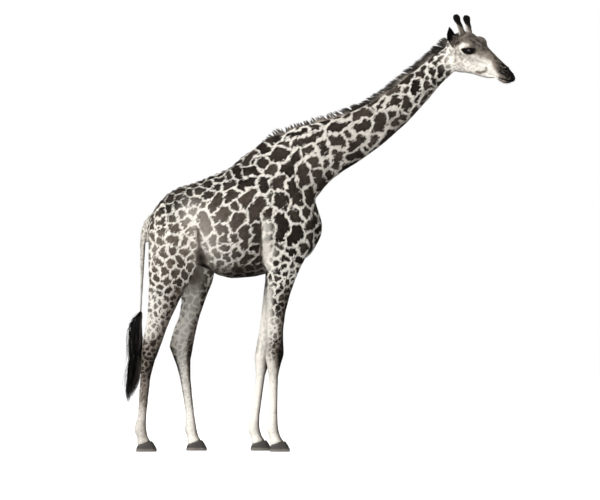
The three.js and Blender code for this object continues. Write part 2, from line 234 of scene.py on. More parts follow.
class Web:
    """Which points of a mesh are neighbours."""

    def __init__(self, mesh):
        ends = read(mesh.edges, "vertices", 2, len(mesh.edges), np.int32)
        self.a, self.b = ends[:, 0], ends[:, 1]
        self.size = len(mesh.vertices)
        self.count = np.maximum(np.bincount(ends.ravel(), minlength=self.size), 1).astype(float)

    def gathered(self, column):
        return np.bincount(self.a, column[self.b], self.size) + np.bincount(self.b, column[self.a], self.size)

    def mean(self, values):
        """The mean over each point's neighbours."""
        return np.stack([self.gathered(column) for column in values.T], axis=1) / self.count[:, None]

    def relaxed(self, values, rounds, share=0.5):
        """Values drawn towards their neighbours' mean, a share of the way each round."""
        flat = values.ndim == 1
        values = values[:, None] if flat else values
        share = share[:, None] if isinstance(share, np.ndarray) else share
        for _ in range(rounds):
            values = values + share * (self.mean(values) - values)
        return values[:, 0] if flat else values


def soup_of(nodes):
    """All corners and triangles of some CAD nodes, and which node each triangle is from."""
    points, faces, owner, start = [], [], [], 0
    for index, name in enumerate(nodes):
        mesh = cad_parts[name].data
        co, tris = points_of(mesh), triangles_of(mesh)
        points.append(co)
        faces.append(tris + start)
        owner.append(np.full(len(tris), index))
        start += len(co)
    return np.vstack(points), np.vstack(faces), np.concatenate(owner)


def remeshed(name, points, faces, size):
    """One closed mesh of even squares round a group of solids."""
    obj = put(name, mesh_of(name, points, faces), smooth=False)
    change = obj.modifiers.new("even", "REMESH")
    change.mode = "VOXEL"
    change.voxel_size = size
    return baked_down(obj)


def smoothed(mesh, rounds, share, restore=30):
    """Rounds off facets, then puts back the bulk that rounding took."""
    web = Web(mesh)
    before = points_of(mesh)
    after = web.relaxed(before, rounds, share * 0.5)
    set_points(mesh, after)
    normals = normals_of(mesh)
    lost = web.relaxed(((before - after) * normals).sum(1), restore)
    set_points(mesh, after + normals * lost[:, None])


RING_POINTS = 20  # a level of a solid with fewer points than this isn't a whole ring


def rings_of(node):
    """The rings of an upright CAD node: height, then x and y of the middle and of the half size."""
    co = points_of(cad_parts[node].data)
    level = np.round(co[:, 2], 3)
    rings = [(z, co[level == z]) for z in np.unique(level) if (level == z).sum() >= RING_POINTS]
    return np.array([[z, *((ring.min(0) + ring.max(0)) / 2)[:2], *((ring.max(0) - ring.min(0)) / 2)[:2]]
                     for z, ring in rings])


# ---- the head's axes

def head_matrix():
    """The head's three directions as columns, and its origin, set by the two eyes."""
    turn = Matrix.Rotation(HEAD_TURN, 3, "Z") @ Matrix.Rotation(HEAD_DROP, 3, "Y")
    right, left = [(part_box(f"eye_{side}")[0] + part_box(f"eye_{side}")[1]) / 2 for side in SIDES]
    middle = turn @ Vector((EYE_IN_HEAD[0], 0, EYE_IN_HEAD[2])) * MM
    return np.array(turn), np.array((right + left) / 2 - middle)


HEAD_AXES, HEAD_PLACE = head_matrix()


def in_head(points):
    """World points to the head's axes, in millimetres."""
    return (points - HEAD_PLACE) @ HEAD_AXES / MM


def out_of_head(points):
    return np.asarray(points, float) * MM @ HEAD_AXES.T + HEAD_PLACE


def range_of(local, spot):
    """How far points of either side are from a spot of the left side."""
    folded = np.stack([local[:, 0], np.abs(local[:, 1]), local[:, 2]], axis=1)
    return np.linalg.norm(folded - np.array(spot), axis=1)


def sided(values, side):
    """A place or way in the head's axes, from the one on the left side."""
    return np.array(values) * (1, side, 1)


def lid_axes(side, outward):
    """The long and the high way of an eye's almond, square to the way it faces."""
    long_way = np.array([math.cos(LID_TILT), 0, math.sin(LID_TILT)])
    long_way = unit(long_way - outward * (long_way @ outward))
    return long_way, np.cross(outward, long_way) * -side


def ear_leaf(name):
    """An ear's side, its root and tip, and the way it opens, in the head's axes."""
    side = SIDES[name.split("_")[1]]
    tip, opening = EAR_LEAVES[name]
    return side, sided(EAR_ROOT, side), np.array(tip), unit(np.array(opening))


# ---- the body's shape

# Lines on the side plan: (points), half width in mm, height in mm (less than 0 is a groove)
BODY_LINES = [
    ([(198.5, 230), (199.8, 242), (201, 252)], 13, -26), ([(201, 254), (204, 264), (205, 276)], 36, -42),
    ([(206, 270), (208, 277)], 52, -34),
    ([(196, 228), (197, 242), (196.5, 258), (193, 272), (188, 284)], 17, 13),
    ([(190, 216), (192, 234), (191, 252), (186, 276)], 34, 9),
    ([(203, 250), (209, 262), (217, 273), (228, 280)], 17, 8), ([(199, 212), (203, 222), (206, 236)], 34, 8),
    ([(188, 201), (193, 205)], 36, 15), ([(151, 211)], 34, 8),
    ([(166, 214), (160, 255), (157, 300)], 26, -7), ([(178, 222), (174, 262)], 60, 5), ([(194, 264)], 45, 8),
    ([(182, 280), (168, 318), (156, 345)], 17, -5), ([(256, 250), (259, 262), (267, 271)], 8, -6),
    ([(260, 250), (262, 259), (268, 267)], 7, -5), ([(253, 256), (256, 266), (263, 273)], 8, -5),
    ([(261, 212), (262, 232), (263, 250)], 13, -10), ([(268, 205), (269, 232), (272, 256)], 40, 8),
    ([(276, 150), (292, 180), (306, 210), (318, 226)], 38, 9),
    ([(287, 152), (304, 190), (316, 214)], 20, -5), ([(268, 158), (284, 200), (300, 228)], 26, -5),
    ([(319, 226)], 40, 8), ([(306, 236), (296, 262), (290, 282)], 22, -6), ([(284, 240), (284, 268)], 45, 5),
    ([(300, 138), (311, 165), (316, 192)], 34, -8),
    ([(436, 84), (402, 114), (362, 147), (328, 172)], 24, -8),
    ([(434, 60), (398, 90), (352, 124), (306, 150)], 45, 5), ([(440, 72), (410, 100), (372, 132)], 34, 4),
    ([(210, 196), (206, 232)], 34, -5),
]
RIB_STARTS = [214, 221, 228, 235, 242, 249, 256]
RIB_WIDTH, RIB_RISE = 1.7, 2.6  # in squares and in mm
VERTEBRA = 6.2  # squares from one knuckle of the backbone to the next
LEG_SQUARES = 275  # lines that reach below this are the right legs' own

# Lines on the side of the head, in its own axes: (along, up)
MOUTH = [(338, 12), (370, 28), (470, 52), (545, 74)]
LIPS = [(545, 74), (562, 79), (622, 98), (652, 112)]
MOUTH_FOLD = [(328, -4), (358, 8), (388, 34), (399, 60), (390, 80)]
NOSTRIL = [(538, 166), (552, 177), (572, 185), (590, 182), (598, 170)]
# Each line with its half width in mm and its height in mm
HEAD_LINES = [
    (MOUTH, 5.0, -3.5), (LIPS, 5.0, -6.5), ([(372, 46), (480, 68), (570, 95), (628, 114)], 10, 2.5),
    ([(372, 10), (480, 34), (560, 58), (610, 78)], 11, 2.5), (MOUTH_FOLD, 8, -6),
    ([(322, 18), (356, 28), (378, 52)], 12, 4), ([(232, 100), (300, 112), (370, 126)], 13, 5),
    ([(246, 60), (320, 82), (400, 108)], 22, -7), ([(96, 30), (150, -10)], 55, 6),
    ([(20, 60), (34, 0), (62, -62)], 14, -5), ([(218, 108), (252, 92), (296, 80)], 6, -3.5),
    ([(124, 156), (150, 172), (186, 174), (222, 158)], 12, 8),
    ([(120, 98), (150, 84), (186, 80), (220, 90)], 8, 3),
    ([(116, 86), (150, 70), (190, 66), (226, 74)], 6, -2.5),
    ([(400, 172), (470, 176), (536, 168)], 15, -3.5), ([(290, 2), (250, 34), (206, 54)], 5, 2),
    ([(596, 62)], 20, 3), (NOSTRIL, 7.5, -20),
    ([(528, 166), (546, 191), (572, 202), (602, 195), (613, 176)], 8, 6),
    ([(546, 160), (570, 167), (590, 163)], 7, 3.5), ([(100, 196), (140, 205)], 20, -4),
]


def part_flags(points):
    """Which points are nearest to each flesh solid, and to each kind of part."""
    corners, faces, owner = soup_of(FLESH)
    tree = BVHTree.FromPolygons(corners.tolist(), faces.tolist())
    nearest = np.array([owner[tree.find_nearest(p)[2]] for p in points.tolist()])
    flags = {name: nearest == index for index, name in enumerate(FLESH)}
    for kind in FLESH_KINDS:
        flags[kind] = np.any([flags[n] for n in FLESH if n.split("_")[0] == kind], axis=0)
    flags["head_all"] = flags["head"] | flags["ear"] | flags["ossicone"]
    return flags


def refine(mesh, keep):
    """Splits every square whose corners are all marked into four."""
    bm = bmesh.new()
    bm.from_mesh(mesh)
    edges = [e for e in bm.edges if keep[e.verts[0].index] and keep[e.verts[1].index]]
    bmesh.ops.subdivide_edges(bm, edges=edges, cuts=1, use_grid_fill=True)
    bm.to_mesh(mesh)
    bm.free()
    mesh.update()


def push(mesh, amount):
    """Moves the surface out by a distance for each point."""
    set_points(mesh, points_of(mesh) + normals_of(mesh) * amount[:, None])


def leg_angle(points, foot):
    """The angle round a leg in degrees: 0 in front, less than 0 on the inside."""
    x, y, z = points.T
    rings = rings_of(f"leg_{foot}")
    forward = x - np.interp(z, rings[:, 0], rings[:, 1])
    outward = SIDES[foot.split("_")[1]] * (y - np.interp(z, rings[:, 0], rings[:, 2]))
    return np.degrees(np.arctan2(outward, forward))


# Where the legs swell or sink: by how many mm, at what height and within what reach of it in m, and at
# what angle from the front and within what reach of it in degrees
LEG_SPOTS = {
    "front": [(5, 0.905, 0.05, 0, 60), (4, 0.84, 0.02, 150, 30)],
    "hind": [(5, 0.9, 0.035, 70, 35), (-4, 0.83, 0.03, 0, 40)],
}
# The long groove of the upper legs: by how many mm, its soft lower and upper ends, angle and reach
LEG_GROOVES = {
    "front": (-4, (0.98, 1.08), (1.35, 1.5), 95, 16),
    "hind": (-8, (0.95, 1.08), (1.3, 1.45), 138, 22),
}


def sculpt_leg(z, angle, pair):
    """Bones, sinews and joints of one leg, in mm of height."""
    turn = np.abs(angle)
    cannon = within(z, (0.24, 0.34), (0.62, 0.74))
    change = cannon * (-5.5 * bump(turn, 118, 20) + 1.5 * bump(turn, 55, 40))
    change += 6 * (bump(z, 0.19, 0.03) * bump(turn, 180, 40))
    rise, start, end, middle, width = LEG_GROOVES[pair]
    change += within(z, start, end) * rise * bump(turn, middle, width)
    for rise, level, reach, middle, width in LEG_SPOTS[pair]:
        change += rise * bump(z, level, reach) * bump(turn, middle, width)
    return change


def sculpt_body(mesh, parts):
    """Raises shoulder, ribs, hips, joints and sinews, and sinks the folds between them."""
    points, normals = points_of(mesh), normals_of(mesh)
    squares = plan(points)
    sideways = ease(np.abs(normals[:, 1]), 0.2, 0.6)
    body = (parts["trunk"] | parts["neck"] | parts["leg"]).astype(float)
    right = ease(-points[:, 1], -0.02, 0.02)
    height = np.zeros(len(points))
    for line, width, rise in BODY_LINES:
        side = right if max(down for _, down in line) > LEG_SQUARES else 1.0
        height += stroke_reach(squares, line, width * MM * SQUARES) * rise * side
    for start in RIB_STARTS:
        rib = [(start, 196), (start - 2, 222), (start - 8, 254)]
        height += stroke_reach(squares, rib, RIB_WIDTH) * RIB_RISE
    height *= sideways * body
    # the knuckles of the backbone
    spine = bump(points[:, 1], 0, 0.035) * ease(normals[:, 2], 0.5, 0.9) * parts["trunk"]
    loin = within(squares[:, 0], (150, 175), (245, 262))
    height += spine * loin * (3 + 3 * np.cos(squares[:, 0] * 2 * math.pi / VERTEBRA))
    for foot in FEET:
        change = sculpt_leg(points[:, 2], leg_angle(points, foot), foot.split("_")[0])
        height += np.where(parts[f"leg_{foot}"], change, 0)
    uneven = lattice_noise(points * 9, 3) * 2.2 + lattice_noise(points * 23, 4) * 0.7
    height += uneven * body
    push(mesh, height * MM)


def sculpt_head(mesh, head):
    """Draws the head's folds, nostrils and lips, swells the horns and thins the lower jaw."""
    local = in_head(points_of(mesh))
    tilt = np.abs(normals_of(mesh) @ HEAD_AXES[:, 1])
    side_plane = local[:, [0, 2]]
    height = np.zeros(len(local))
    for line, width, rise in HEAD_LINES:
        height += stroke_reach(side_plane, line, width) * rise
    height *= ease(tilt, 0.12, 0.4) * head * (local[:, 0] < 690)
    # fine creases over the muzzle
    crease = np.sin(local[:, 0] * 0.42 + lattice_noise(local * 0.02, 8) * 3)
    height += 0.5 * crease * ease(local[:, 0], 470, 520) * head
    height += head * 12 * bump(range_of(local, (62, 56, 250)), 0, 34)
    height += head * 5.5 * bump(local[:, 2], 274, 22) * (local[:, 2] > 240)
    push(mesh, height * MM)
    # the thin lower jaw, well above the chin
    local = in_head(points_of(mesh))
    mouth = np.interp(local[:, 0], [370, 470, 562, 622], [28, 52, 79, 98])
    thin = bump(local[:, 0], 505, 42) * head
    local[:, 2] += np.clip(mouth - local[:, 2], 0, None) * 0.6 * thin
    set_points(mesh, out_of_head(local))


def open_eyes(mesh):
    """Wraps lids round each eye and leaves an almond opening."""
    local = in_head(points_of(mesh))
    for side in SIDES.values():
        centre = sided(EYE_IN_HEAD, side)
        outward = unit(sided(LID_FACING, side))
        long_way, high_way = lid_axes(side, outward)
        offset = local - centre
        distance = np.linalg.norm(offset, axis=1)
        way = offset / np.maximum(distance, 1e-6)[:, None]
        facing = way @ outward
        near = (distance < 64) & (facing > 0.0)
        flat = way * EYE_RADIUS
        a, b = flat @ long_way, flat @ high_way
        length, above, below = LID_OPENING
        arc = np.sqrt(np.clip(1 - (a / (length * 1.02)) ** 2, 0.0, 1))
        limit = np.where(b > 0, above, below) * arc
        beyond = np.abs(b) - limit
        beyond = np.where(np.abs(a) > length, np.hypot(np.abs(a) - length, b), beyond)
        beyond = np.where(facing > 0, beyond, 40)
        rim = LID_OUTSIDE + 1.2 * bump(beyond, 3, 3) + 0.12 * np.clip(beyond, 0, 30)
        hold = np.exp(-np.clip(beyond - 3, 0, None) ** 2 / 11 ** 2)
        outside = np.maximum(mixed(distance, rim, hold), np.minimum(rim, LID_OUTSIDE + 1))
        new = mixed(LID_INSIDE, outside, ease(beyond, -1.2, 1.6))
        new = np.where(near, mixed(distance, new, ease(facing, 0.0, 0.25)), distance)
        local = centre + way * new[:, None]
    set_points(mesh, out_of_head(local))


def ear_mesh(name):
    """An ear's leaf, closed and smooth, its root let into the head."""
    points, faces, _ = soup_of([name])
    obj = remeshed(name + "_leaf", points, faces, EAR_SQUARE)
    smoothed(obj.data, 10, 1.0, 12)
    local = in_head(points_of(obj.data))
    side, root, tip, opening = ear_leaf(name)
    along = unit(tip - root)
    share = ((local - root) @ along) / np.linalg.norm(tip - root)
    across = unit(np.cross(along, opening) * side)
    across *= np.sign(across[0] + across[2])
    ahead = ((local - root) @ across).clip(0, None)
    # fuller at the root, narrower from the middle on, and the root let into the head
    narrower = mixed(-0.45 * ease(share, 0.0, 0.15), 0.55, ease(share, 0.36, 0.62))
    local -= across * (ahead * narrower)[:, None]
    local -= along * (24 * (1 - ease(share, 0.0, 0.3)))[:, None]
    set_points(obj.data, out_of_head(local))
    return obj


def united(obj, others):
    """Joins closed meshes into one."""
    for other in others:
        change = obj.modifiers.new("join", "BOOLEAN")
        change.operation = "UNION"
        change.solver = "MANIFOLD"
        change.object = other
    count = len(obj.data.vertices)
    baked_down(obj)
    if len(obj.data.vertices) < count:
        raise RuntimeError("the ears didn't join the skin")
    for other in others:
        bpy.data.objects.remove(other)
    return obj


# ---- markings, with painted shade and highlights

# Fields over the side plan: place, reach, then patch size and half line in mm, patch lightness,
# ground lightness and how plainly the patches show (each about 0 to 1).
# Some rows paint light or shade into these lightnesses, as noted at their lines.
BODY_FIELDS = [
    (148, 212, 9, 50, 6.0, .3, .92, .95), (160, 200, 10, 80, 4.2, .0, .86, 1),
    (180, 192, 11, 80, 3.8, .0, .84, 1), (173, 206, 9, 74, 5.0, .0, .88, 1),
    (205, 184, 12, 78, 4.0, .0, .82, 1), (228, 174, 12, 74, 4.8, .02, .85, 1),
    (246, 158, 12, 80, 6.5, .06, .88, 1), (268, 140, 14, 88, 8.5, .12, .9, 1),
    (295, 130, 12, 80, 9, .1, .92, 1), (285, 160, 16, 100, 11, .13, .93, 1),
    (300, 190, 16, 105, 9.5, .06, .9, 1), (312, 215, 12, 90, 8.5, .03, .8, 1),
    (285, 215, 14, 90, 10.5, .12, .94, 1), (298, 245, 14, 80, 10, .05, .88, 1),
    # painted highlight: the pale upper arm
    (269, 230, 4, 85, 13, .62, 1.05, .6), (268, 252, 4, 60, 15, .85, 1.05, .2),
    (255, 205, 12, 92, 9, .18, .93, 1), (257, 228, 6, 92, 8, .06, .84, 1), (257, 250, 6, 80, 8, .04, .72, 1),
    (280, 226, 6, 96, 11, .1, .98, 1), (235, 205, 16, 90, 9.5, .3, .96, 1),
    (215, 205, 12, 80, 9.5, .32, .96, 1), (225, 235, 14, 84, 10.5, .36, .98, .95),
    (250, 240, 11, 80, 9, .1, .76, 1), (205, 225, 10, 85, 13, .8, 1, .75),
    (206, 246, 9, 75, 14, .72, 1, .6), (225, 258, 11, 66, 10, .2, .92, .95),
    (216, 254, 6, 70, 15, .55, 1.05, .8), (226, 266, 5, 50, 13, .45, 1.05, .8),
    # painted shade on the belly's lower edge (245, 268), and a painted highlight on the hip (191, 211)
    (245, 268, 12, 72, 8, .02, .66, 1), (191, 211, 8, 60, 14, .55, 1, .6),
    # the light patches of the thigh, here and on the next line, are partly painted light
    (163, 224, 10, 86, 10.5, .42, 1, 1), (185, 240, 12, 92, 12.5, .72, 1, 1),
    (165, 245, 13, 82, 12.5, .72, 1, 1), (151, 250, 8, 46, 9, .75, 1, .75),
    (180, 265, 12, 74, 9, .42, .95, 1), (160, 275, 11, 62, 10, .5, .98, 1),
    (177, 284, 12, 56, 6, .08, .76, 1), (152, 300, 8, 46, 13, .4, 1, .7),
    (168, 303, 12, 54, 9, .1, .84, 1), (149, 328, 8, 44, 18, .45, 1, .45),
    (161, 326, 9, 50, 8, .06, .8, 1), (151, 348, 10, 42, 5.5, .02, .5, 1),
    (145, 367, 10, 32, 4.5, .02, .34, .95), (144, 392, 10, 22, 6, .2, .52, .7),
    (142, 425, 14, 22, 9, .4, .82, .25), (284, 275, 12, 56, 9, .08, .95, 1),
    (283, 300, 12, 56, 7, .04, .88, 1), (281, 325, 9, 50, 6, .04, .84, 1), (270, 325, 7, 30, 12, .4, 1, .35),
    (280, 347, 8, 34, 5, .05, .66, 1), (276, 374, 9, 24, 8, .3, .88, .3),
    (275, 405, 20, 24, 10, .4, .99, .12), (318, 165, 14, 100, 16, .14, .86, 1),
    (340, 150, 18, 108, 16, .14, .82, 1), (365, 125, 18, 100, 16, .12, .82, 1),
    (395, 103, 14, 90, 13, .12, .82, 1), (385, 91, 7, 60, 8, .12, .74, 1),
    (350, 112, 8, 75, 10, .1, .78, 1), (418, 80, 12, 74, 11, .12, .88, 1),
    (432, 62, 10, 60, 10, .08, .92, 1), (436, 75, 7, 62, 5, .05, .84, 1), (437, 60, 5, 58, 4, .1, .92, 1),
    # painted shade: the darker ground under the neck and on the chest's front, from (322, 185) to the end
    (449, 60, 5, 45, 13, .3, 1, .3), (322, 185, 10, 90, 9, .02, .62, 1), (355, 163, 8, 95, 9, .02, .52, 1),
    (400, 126, 8, 85, 9, .02, .52, 1), (434, 93, 7, 65, 9, .05, .66, 1),
]

# The same on the side of the head, in its own axes in mm.
HEAD_FIELDS = [
    (-60, 60, 40, 50, 9, .1, .97, .8), (0, -10, 45, 40, 10, .3, .93, .55),
    (28, 62, 22, 30, 9, .35, .92, .55), (12, 148, 22, 20, 4, .0, .14, .9), (34, 122, 19, 20, 4, .0, .16, .9),
    (6, 100, 18, 20, 4, .0, .18, .9), (98, 140, 16, 30, 9, .5, 1.05, .0),
    (136, 160, 11, 30, 9, .5, 1.05, .0), (72, 104, 11, 30, 9, .5, 1, .1),
    (120, -40, 50, 38, 10, .5, .86, .45), (170, 20, 45, 34, 9, .6, .86, .4),
    (60, 190, 28, 24, 6, .15, .32, .4), (120, 215, 32, 24, 6, .12, .26, .35),
    (190, 190, 28, 24, 6, .12, .26, .3), (176, 128, 26, 30, 8, .2, .02, .0),
    (260, 40, 60, 34, 9, .6, .88, .35), (320, 95, 40, 34, 10, .5, .92, .1),
    (290, 152, 22, 24, 7, .3, .42, .4), (260, 195, 32, 24, 6, .15, .24, .3),
    (340, 176, 26, 24, 7, .3, .4, .3), (400, 110, 36, 30, 8, .4, .95, .1),
    (390, 20, 50, 30, 8, .4, .88, .2), (385, 192, 24, 22, 6, .2, .42, .4),
    (432, 182, 20, 22, 6, .2, .26, .4), (448, 108, 22, 26, 8, .4, .95, .1),
    (500, 84, 24, 24, 8, .3, .92, .2), (520, 52, 24, 24, 8, .3, .88, .2), (560, 60, 20, 15, 5, .05, .5, .7),
    (462, 150, 24, 30, 8, .2, .1, .0), (512, 134, 18, 30, 8, .2, .09, .0),
    (548, 150, 28, 30, 8, .2, .00, .0), (562, 100, 13, 15, 5, .0, .62, .85),
    (596, 112, 12, 15, 5, .0, .5, .8), (592, 74, 18, 18, 5, .1, .62, .6),
    (604, 160, 30, 30, 8, .2, -.05, .0), (646, 140, 28, 30, 8, .2, -.05, .0),
    (652, 100, 18, 24, 6, .1, .06, .2), (626, 88, 10, 18, 5, .1, .22, .4),
]

# Single patches drawn on the right side plan, each along its middle line.
DRAWN_PATCHES = [
    # neck, from the withers up
    [(297, 144), (308, 140), (318, 135)], [(292, 135), (304, 132)], [(315, 127)], [(299, 128)],
    [(307, 151), (311, 149)], [(321, 142), (323, 150)], [(333, 130), (345, 123)], [(334, 138), (342, 141)],
    [(349, 134)], [(347, 117)], [(357, 116), (367, 111)], [(356, 128), (366, 125)], [(353, 146), (361, 140)],
    [(339, 155), (336, 165)], [(314, 157), (317, 165)], [(327, 163)], [(303, 169), (304, 182)],
    [(383, 117), (377, 130)], [(387, 106), (395, 99)], [(371, 142), (377, 138)], [(392, 115)],
    [(397, 122), (402, 116)], [(407, 100), (409, 108)], [(409, 76), (405, 82)], [(419, 98)],
    [(418, 82), (416, 90)], [(427, 80), (429, 88)], [(420, 75), (424, 68)], [(406, 90)],
    [(430, 61), (437, 54)], [(436, 64), (442, 57)], [(440, 48)], [(432, 70), (434, 80)],
    [(440, 68), (440, 76)], [(380, 106), (386, 98)], [(371, 106), (380, 98)], [(388, 95), (396, 89)],
    [(408, 73), (416, 67)], [(352, 160), (363, 153)], [(345, 168), (354, 163)], [(366, 150)],
    [(382, 141), (390, 135)], [(318, 172), (322, 186)], [(328, 173)], [(424, 100), (430, 92)], [(415, 110)],
    # withers, shoulder and chest
    [(271, 140), (280, 136)], [(260, 146), (267, 150)], [(273, 156), (281, 151), (287, 155)], [(259, 140)],
    [(298, 152), (292, 162), (287, 171)], [(260, 162), (265, 164)], [(271, 168)], [(248, 161), (252, 155)],
    [(254, 160)], [(236, 168), (238, 176)], [(248, 173), (254, 170)], [(277, 186), (283, 180)],
    [(264, 184), (266, 189)], [(270, 195)], [(277, 196), (284, 205)], [(291, 183), (297, 192), (297, 202)],
    [(310, 200), (309, 192)], [(294, 213), (298, 219)], [(305, 212), (308, 217)], [(269, 214)],
    [(280, 216), (284, 226), (280, 237)], [(291, 240), (298, 231)], [(308, 225), (314, 220)], [(312, 238)],
    [(304, 248)], [(291, 251)], [(281, 247)], [(284, 259)], [(299, 262)], [(292, 266)], [(268, 228)],
    # ribs and flank
    [(230, 198), (235, 194)], [(243, 186), (252, 182)], [(244, 202), (252, 193)],
    [(262, 201), (256, 210), (254, 220)], [(235, 225), (242, 217)], [(219, 217), (227, 212)],
    [(212, 207), (218, 198)], [(205, 205)], [(223, 230)], [(223, 239)], [(235, 240)],
    [(246, 232), (244, 244)], [(257, 226), (257, 238)], [(257, 250)], [(202, 215), (205, 223), (207, 232)],
    [(205, 245)], [(224, 248)], [(236, 255)], [(227, 258)], [(243, 262), (251, 257)],
    [(236, 267), (242, 270)], [(250, 268)], [(226, 185), (234, 182)], [(229, 176)], [(217, 186)],
]


# ---- the markings at each point, with painted shade and highlights

PATCH_SCALE, LINE_SCALE = 1.3, 0.82  # the fields' sizes are multiplied by these
FIELD_BATCH, SOWN_BATCH = 20000, 400  # points worked out at a time
PLAIN_ENOUGH, MOST_PLACES = 0.04, 70000  # where random patches may be sown
GRAIN_TURN = 0.35  # random patches are this much of their size longer along the body's grain
BLOCK, BLOCK_MARGIN = 0.22, 0.17  # borders are worked out in blocks of the skin, in m
NO_BORDER = 0.1  # the distance given where there's only one patch near
COAT_MARKS = ("edge", "line", "light", "ground", "plain")

# On the side plan
# painted shade along the groin folds: line, half width in squares, and darkness
GROIN_FOLDS = [([(198.3, 229), (199.5, 242), (200.5, 252)], 1.1, 0.9),
               ([(201, 256), (204, 267), (206, 280)], 5.2, 1)]
# the pale hollow behind the upper arm is a painted highlight
HOLLOW_REAR = ([214, 240, 262, 272], [263.5, 262, 263, 268])  # levels down, and the hollow's rear edge there
# On the head's side: line, half width in mm and lightness
HEAD_SMEARS = [
    ([(36, 84), (74, 28), (102, -41)], 10, 0.3), ([(22, 15), (45, -25), (69, -63)], 11, 0.35),
    ([(148, 56), (152, 10), (158, -27), (205, -55)], 9, 0.62),
    ([(112, 52), (122, 20)], 16, 0.55), ([(62, 96), (88, 70)], 10, 0.45),
]
MOUTH_CORNER = [(324, -4), (356, 6), (386, 32), (398, 58), (390, 78)]
# painted highlight lines along the nostrils' upper rims
NOSTRIL_HIGHLIGHT_LINES = [[(536, 184), (552, 194), (570, 200)], [(584, 199), (598, 192), (608, 182)]]


def scattered(rng, points, sizes, taken, candidates):
    """Points spread over a surface with the given spacing, clear of those already taken."""
    room, chosen = np.array(taken), []
    order = rng.permutation(candidates)
    for start in range(0, len(order), SOWN_BATCH):
        batch = order[start:start + SOWN_BATCH]
        p = points[batch]
        gap = (sizes[batch] * rng.uniform(0.72, 0.95, len(batch))) ** 2
        far = (p ** 2).sum(1)[:, None] + (room ** 2).sum(1)[None, :] - 2 * p @ room.T
        clear = far.min(1) > gap
        new = []
        for index, spot, least in zip(batch[clear], p[clear], gap[clear]):
            if all(((spot - other) ** 2).sum() > least for other in new):
                new.append(spot)
                chosen.append(index)
        if new:
            room = np.vstack([room, new])
    return chosen


def matched_plan(points, parts):
    """The side plan, moved so that each left leg is marked as the right one is."""
    squares = plan(points)
    z = points[:, 2]
    for foot in FEET:
        if foot.endswith("left"):
            ours, other = rings_of(f"leg_{foot}"), rings_of(f"leg_{foot.replace('left', 'right')}")
            step = np.interp(z, other[:, 0], other[:, 1]) - np.interp(z, ours[:, 0], ours[:, 1])
            ramp = 1 - ease(z, 1.2, 1.62)
            squares[:, 0] += np.where(parts[f"leg_{foot}"], step * ramp * SQUARES, 0)
    return squares


def leg_patches_and_painted_shade(points, parts, size, ground, plain):
    """The legs' insides are plainer, and the front edge is darker than the back, which is painted shade,
    strongest on the knees' fronts. The hind legs' insides are painted dark high up, as shade under the belly,
    and the lower insides are pale, partly as painted light.
    """
    z = points[:, 2]
    below = 1 - ease(z, 1.4, 1.6)
    knee = within(z, (0.72, 0.8), (0.92, 1.0))
    for foot in FEET:
        mine = parts[f"leg_{foot}"]
        angle = leg_angle(points, foot)
        inside = within(-angle, (15, 60), (130, 165))
        front = bump(angle, 0, 60)
        if foot.startswith("hind"):
            new_plain = plain * (1 - mixed(0.85, 0.6, below) * inside)
            # painted shade: the insides darken under the belly and the front edge is darker; the pale lower
            # insides are partly painted light
            new_ground = mixed(ground, mixed(0.3, 1.0, below), 0.9 * inside) - 0.4 * front * below
        else:
            rear = ease(np.abs(angle), 115, 150)
            new_plain = plain * (1 - 0.7 * inside * below) * (1 - 0.75 * rear * below)
            # painted shade on the front edge, most of it on the knee; the pale lower insides are partly
            # painted light
            new_ground = mixed(ground, 1.0, inside * below) - front * (0.66 * below + 0.8 * knee)
            size = np.where(mine, size * (1 - 0.2 * front), size)
        plain, ground = np.where(mine, new_plain, plain), np.where(mine, new_ground, ground)
    return size, ground, plain


def painted_fold_shade_and_highlight(points, normals, squares, parts, ground, plain):
    """Painted shade in the dark folds at the groin, a painted highlight in the pale hollow behind the upper
    arm with a painted shadow on the ribs' edge next to it, and painted shade on the belly's dark edge and low
    at the groin.
    """
    across, down = squares.T
    trunk, flank = parts["trunk"], parts["trunk"] | parts["leg"]
    fold = flank * (points[:, 1] < 0) * ease(np.abs(normals[:, 1]), 0.05, 0.3)
    # painted shade darkens the groin folds
    near, far = (depth * stroke_reach(squares, line, width) for line, width, depth in GROIN_FOLDS)
    crease = fold * np.maximum(near, far)
    plain = plain * (1 - 0.9 * crease)
    ground = ground - 0.95 * crease
    # painted highlight: the hollow behind the upper arm is made pale, and it ends sharply against the ribs,
    # whose edge gets a painted shadow
    ahead = across - np.interp(down, *HOLLOW_REAR)
    hollow = flank * within(ahead, (0, 1.5), (6.5, 10))
    hollow = hollow * within(down, (216, 224), (264, 276))
    faint = ease(ahead, 1.6, 3.4) * (1 - ease(down, 238, 246))
    plain = plain * (1 - mixed(0.85, 0.42, faint) * hollow)
    ground = mixed(ground, 1.05, hollow)
    shadow = within(ahead, (-3.2, -0.8), (-0.8, 0.2)) * trunk
    ground = ground - 0.75 * shadow * within(down, (220, 232), (268, 276))
    # painted shade on the belly's underside between the legs
    under = trunk * ease(-normals[:, 2], 0.3, 0.85) * ease(across, 200, 212)
    ground = ground - 0.38 * under * (1 - ease(across, 262, 270)) * ease(down, 258, 268)
    # painted shade low at the groin, near the middle between the thighs
    groin = trunk * ease(down, 262, 280) * (1 - ease(np.abs(points[:, 1]), 0.06, 0.13))
    groin = groin * (1 - ease(across, 205, 222))
    return ground - 0.3 * groin, plain * (1 - 0.8 * groin)


def eye_patch(local):
    """1 in the black patch round each eye, which is deeper and rounder below the eye. The patch is the dark
    skin round the eye and, partly, painted shade of the lids and lashes.
    """
    turn = math.radians(33)
    along, rise = local[:, 0] - 169, local[:, 2] - 124
    a = along * math.cos(turn) + rise * math.sin(turn)
    b = -along * math.sin(turn) + rise * math.cos(turn)
    upper = ((a / 68) ** 4 + (b / 22) ** 4) ** 0.25
    ring = np.where(b > 0, upper, np.hypot((a - 8 * ease(-b, 0, 12)) / 64, b / 34))
    return 1 - ease(ring, 0.88, 1.12)


